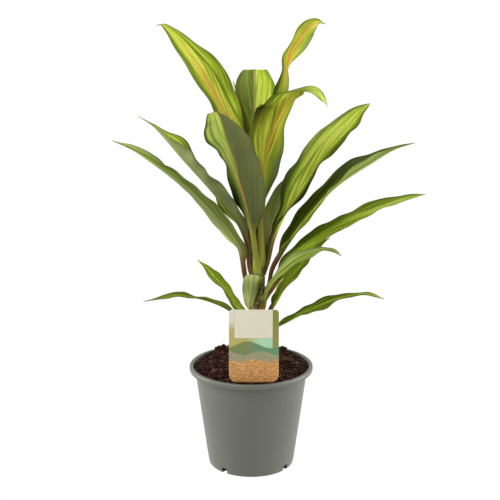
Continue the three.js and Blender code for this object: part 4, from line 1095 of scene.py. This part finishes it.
def cane_piece():
    """The cane: round rings up its centre line, with a shallow bell-shaped groove at each scar, a wider
    raised bell under it for the node, and fine unevenness from two sine waves."""
    heights = np.linspace(CANE[0, 0], CANE[-1, 0], CANE_ROWS)[:, None]
    x, y, radius = cane_at(heights)
    gaps = np.random.default_rng(CANE_SEED).uniform(0.7, 1.3, CANE_SCARS)
    places = CANE_FIRST_SCAR + (CANE[-1, 0] - CANE_FIRST_SCAR - 2) * np.cumsum(gaps) / gaps.sum()
    away = heights - places
    scar = np.exp(-(away / SCAR_REACH) ** 2).sum(1, keepdims=True)
    swell = np.exp(-((away + NODE_BELOW_SCAR) / NODE_REACH) ** 2).sum(1, keepdims=True)
    turn = np.linspace(0, 2 * np.pi, CANE_SIDES, endpoint=False)
    uneven = 0.12 * np.sin(5 * turn + heights / 9) + 0.07 * np.sin(13 * turn - heights / 4)
    skin = (radius - CANE_INSET - SCAR_DEPTH * scar + NODE_SWELL * np.minimum(swell, 1)) + uneven
    ends = [x[0, 0], y[0, 0], heights[0, 0]], [x[-1, 0], y[-1, 0], heights[-1, 0] + 1.2]
    points, faces = closed_rings(round_rings(skin, heights, CANE_SIDES, x, y), *ends)
    piece = make_piece("cane", points, faces, cane_material(), ["stem"])
    add_attribute(piece, "scar", np.r_[np.repeat(np.minimum(scar, 1), CANE_SIDES), 0, 0])
    return piece


def label_outline(inset):
    """The label's outline from the front, x across and z up, drawn in by an inset on every side: its right
    half, and the same mirrored."""
    half = LABEL_WIDTH / 2
    stake, tip = STAKE_HALF_WIDTH - inset, STAKE_TIP_HALF_WIDTH - inset
    large, small = LABEL_BOTTOM_CORNER, LABEL_TOP_CORNER
    right = [(tip, STAKE_TIP + inset), (stake, STAKE_SHOULDER), (stake, LABEL_BOTTOM + inset)]
    right += arc((half - large, LABEL_BOTTOM + large), large - inset, -90, 0, 14)
    right += arc((half - small, LABEL_TOP - small), small - inset, 0, 90, 10)
    left = [(-x, z) for x, z in right]
    outline = left[:1] + right + left[:0:-1]
    return np.array(outline) + np.array([LABEL_CENTRE_X, 0])


def label_piece():
    """The label as a thin plate: four copies of its outline from back to front, the outer two drawn in so
    that its edges are rounded, closed by a flat face on each side."""
    half = LABEL_THICKNESS / 2
    level = half - LABEL_EDGE_DEPTH
    rings = []
    for y, inset in ((half, LABEL_EDGE_ROUND), (level, 0.0), (-level, 0.0), (-half, LABEL_EDGE_ROUND)):
        outline = label_outline(inset)
        rings.append(np.stack([outline[:, 0], np.full(len(outline), LABEL_Y + y), outline[:, 1]], -1))
    count = len(outline)
    faces = ring_faces(4, count)
    faces += [list(range(count))[::-1], list(range(3 * count, 4 * count))]
    card = label_material()
    return make_piece("stick_label", np.vstack(rings), faces, card, ["plant_label"], 30)


# The plant and its studio

def build_plant():
    """Every piece of the plant and its pot."""
    soil = soil_material()
    pot_piece()
    soil_piece(soil)
    soil_crumbs(soil)
    soil_fibres()
    cane_piece()
    label_piece()
    skin = leaf_material()
    for number, leaf in enumerate(LEAVES):
        leaf_piece({**USUAL_LEAF, **leaf}, number, skin)


def add_light(name, place, aim_height, power, size):
    """A soft square light at a place, in metres, turned to a point on the pot's axis."""
    light = bpy.data.lights.new(name, "AREA")
    light.energy = power
    light.size = size
    lamp = add_object(name, light)
    lamp.location = place
    towards = np.array([0, 0, aim_height]) - np.array(place)
    flat = np.hypot(towards[0], towards[1])
    lamp.rotation_euler = (np.arctan2(flat, -towards[2]), 0, np.arctan2(-towards[0], towards[1]))


def build_studio():
    """A lit white floor, a white sky, four large soft lights and the camera."""
    scene = bpy.context.scene
    corners = np.array([(-1, -1, 0), (1, -1, 0), (1, 1, 0), (-1, 1, 0)]) * FLOOR_REACH
    floor = add_mesh("studio_floor", corners, [(0, 1, 2, 3)])
    floor.data.materials.append(floor_material())
    floor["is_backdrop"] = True
    world = bpy.data.worlds.new("studio")
    scene.world = world
    world.use_nodes = True
    sky = world.node_tree.nodes["Background"]
    sky.inputs["Color"].default_value = (1, 1, 1, 1)
    sky.inputs["Strength"].default_value = SKY_STRENGTH
    for light in LIGHTS:
        add_light(*light)
    camera = add_object("camera", bpy.data.cameras.new("camera"))
    camera.data.lens = CAMERA_LENS
    camera.data.sensor_width = CAMERA_SENSOR
    camera.data.shift_x = CAMERA_SHIFT
    camera.location = (0, -CAMERA_BACK * MM, CAMERA_UP * MM)
    camera.rotation_euler = (np.radians(90 - CAMERA_TILT), 0, 0)
    scene.camera = camera
    scene.view_settings.view_transform = "Standard"


build_studio()
build_plant()
visual_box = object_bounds()
({"cad": [list(corner) for corner in cad_box],
           "visual": [list(corner) for corner in visual_box]})
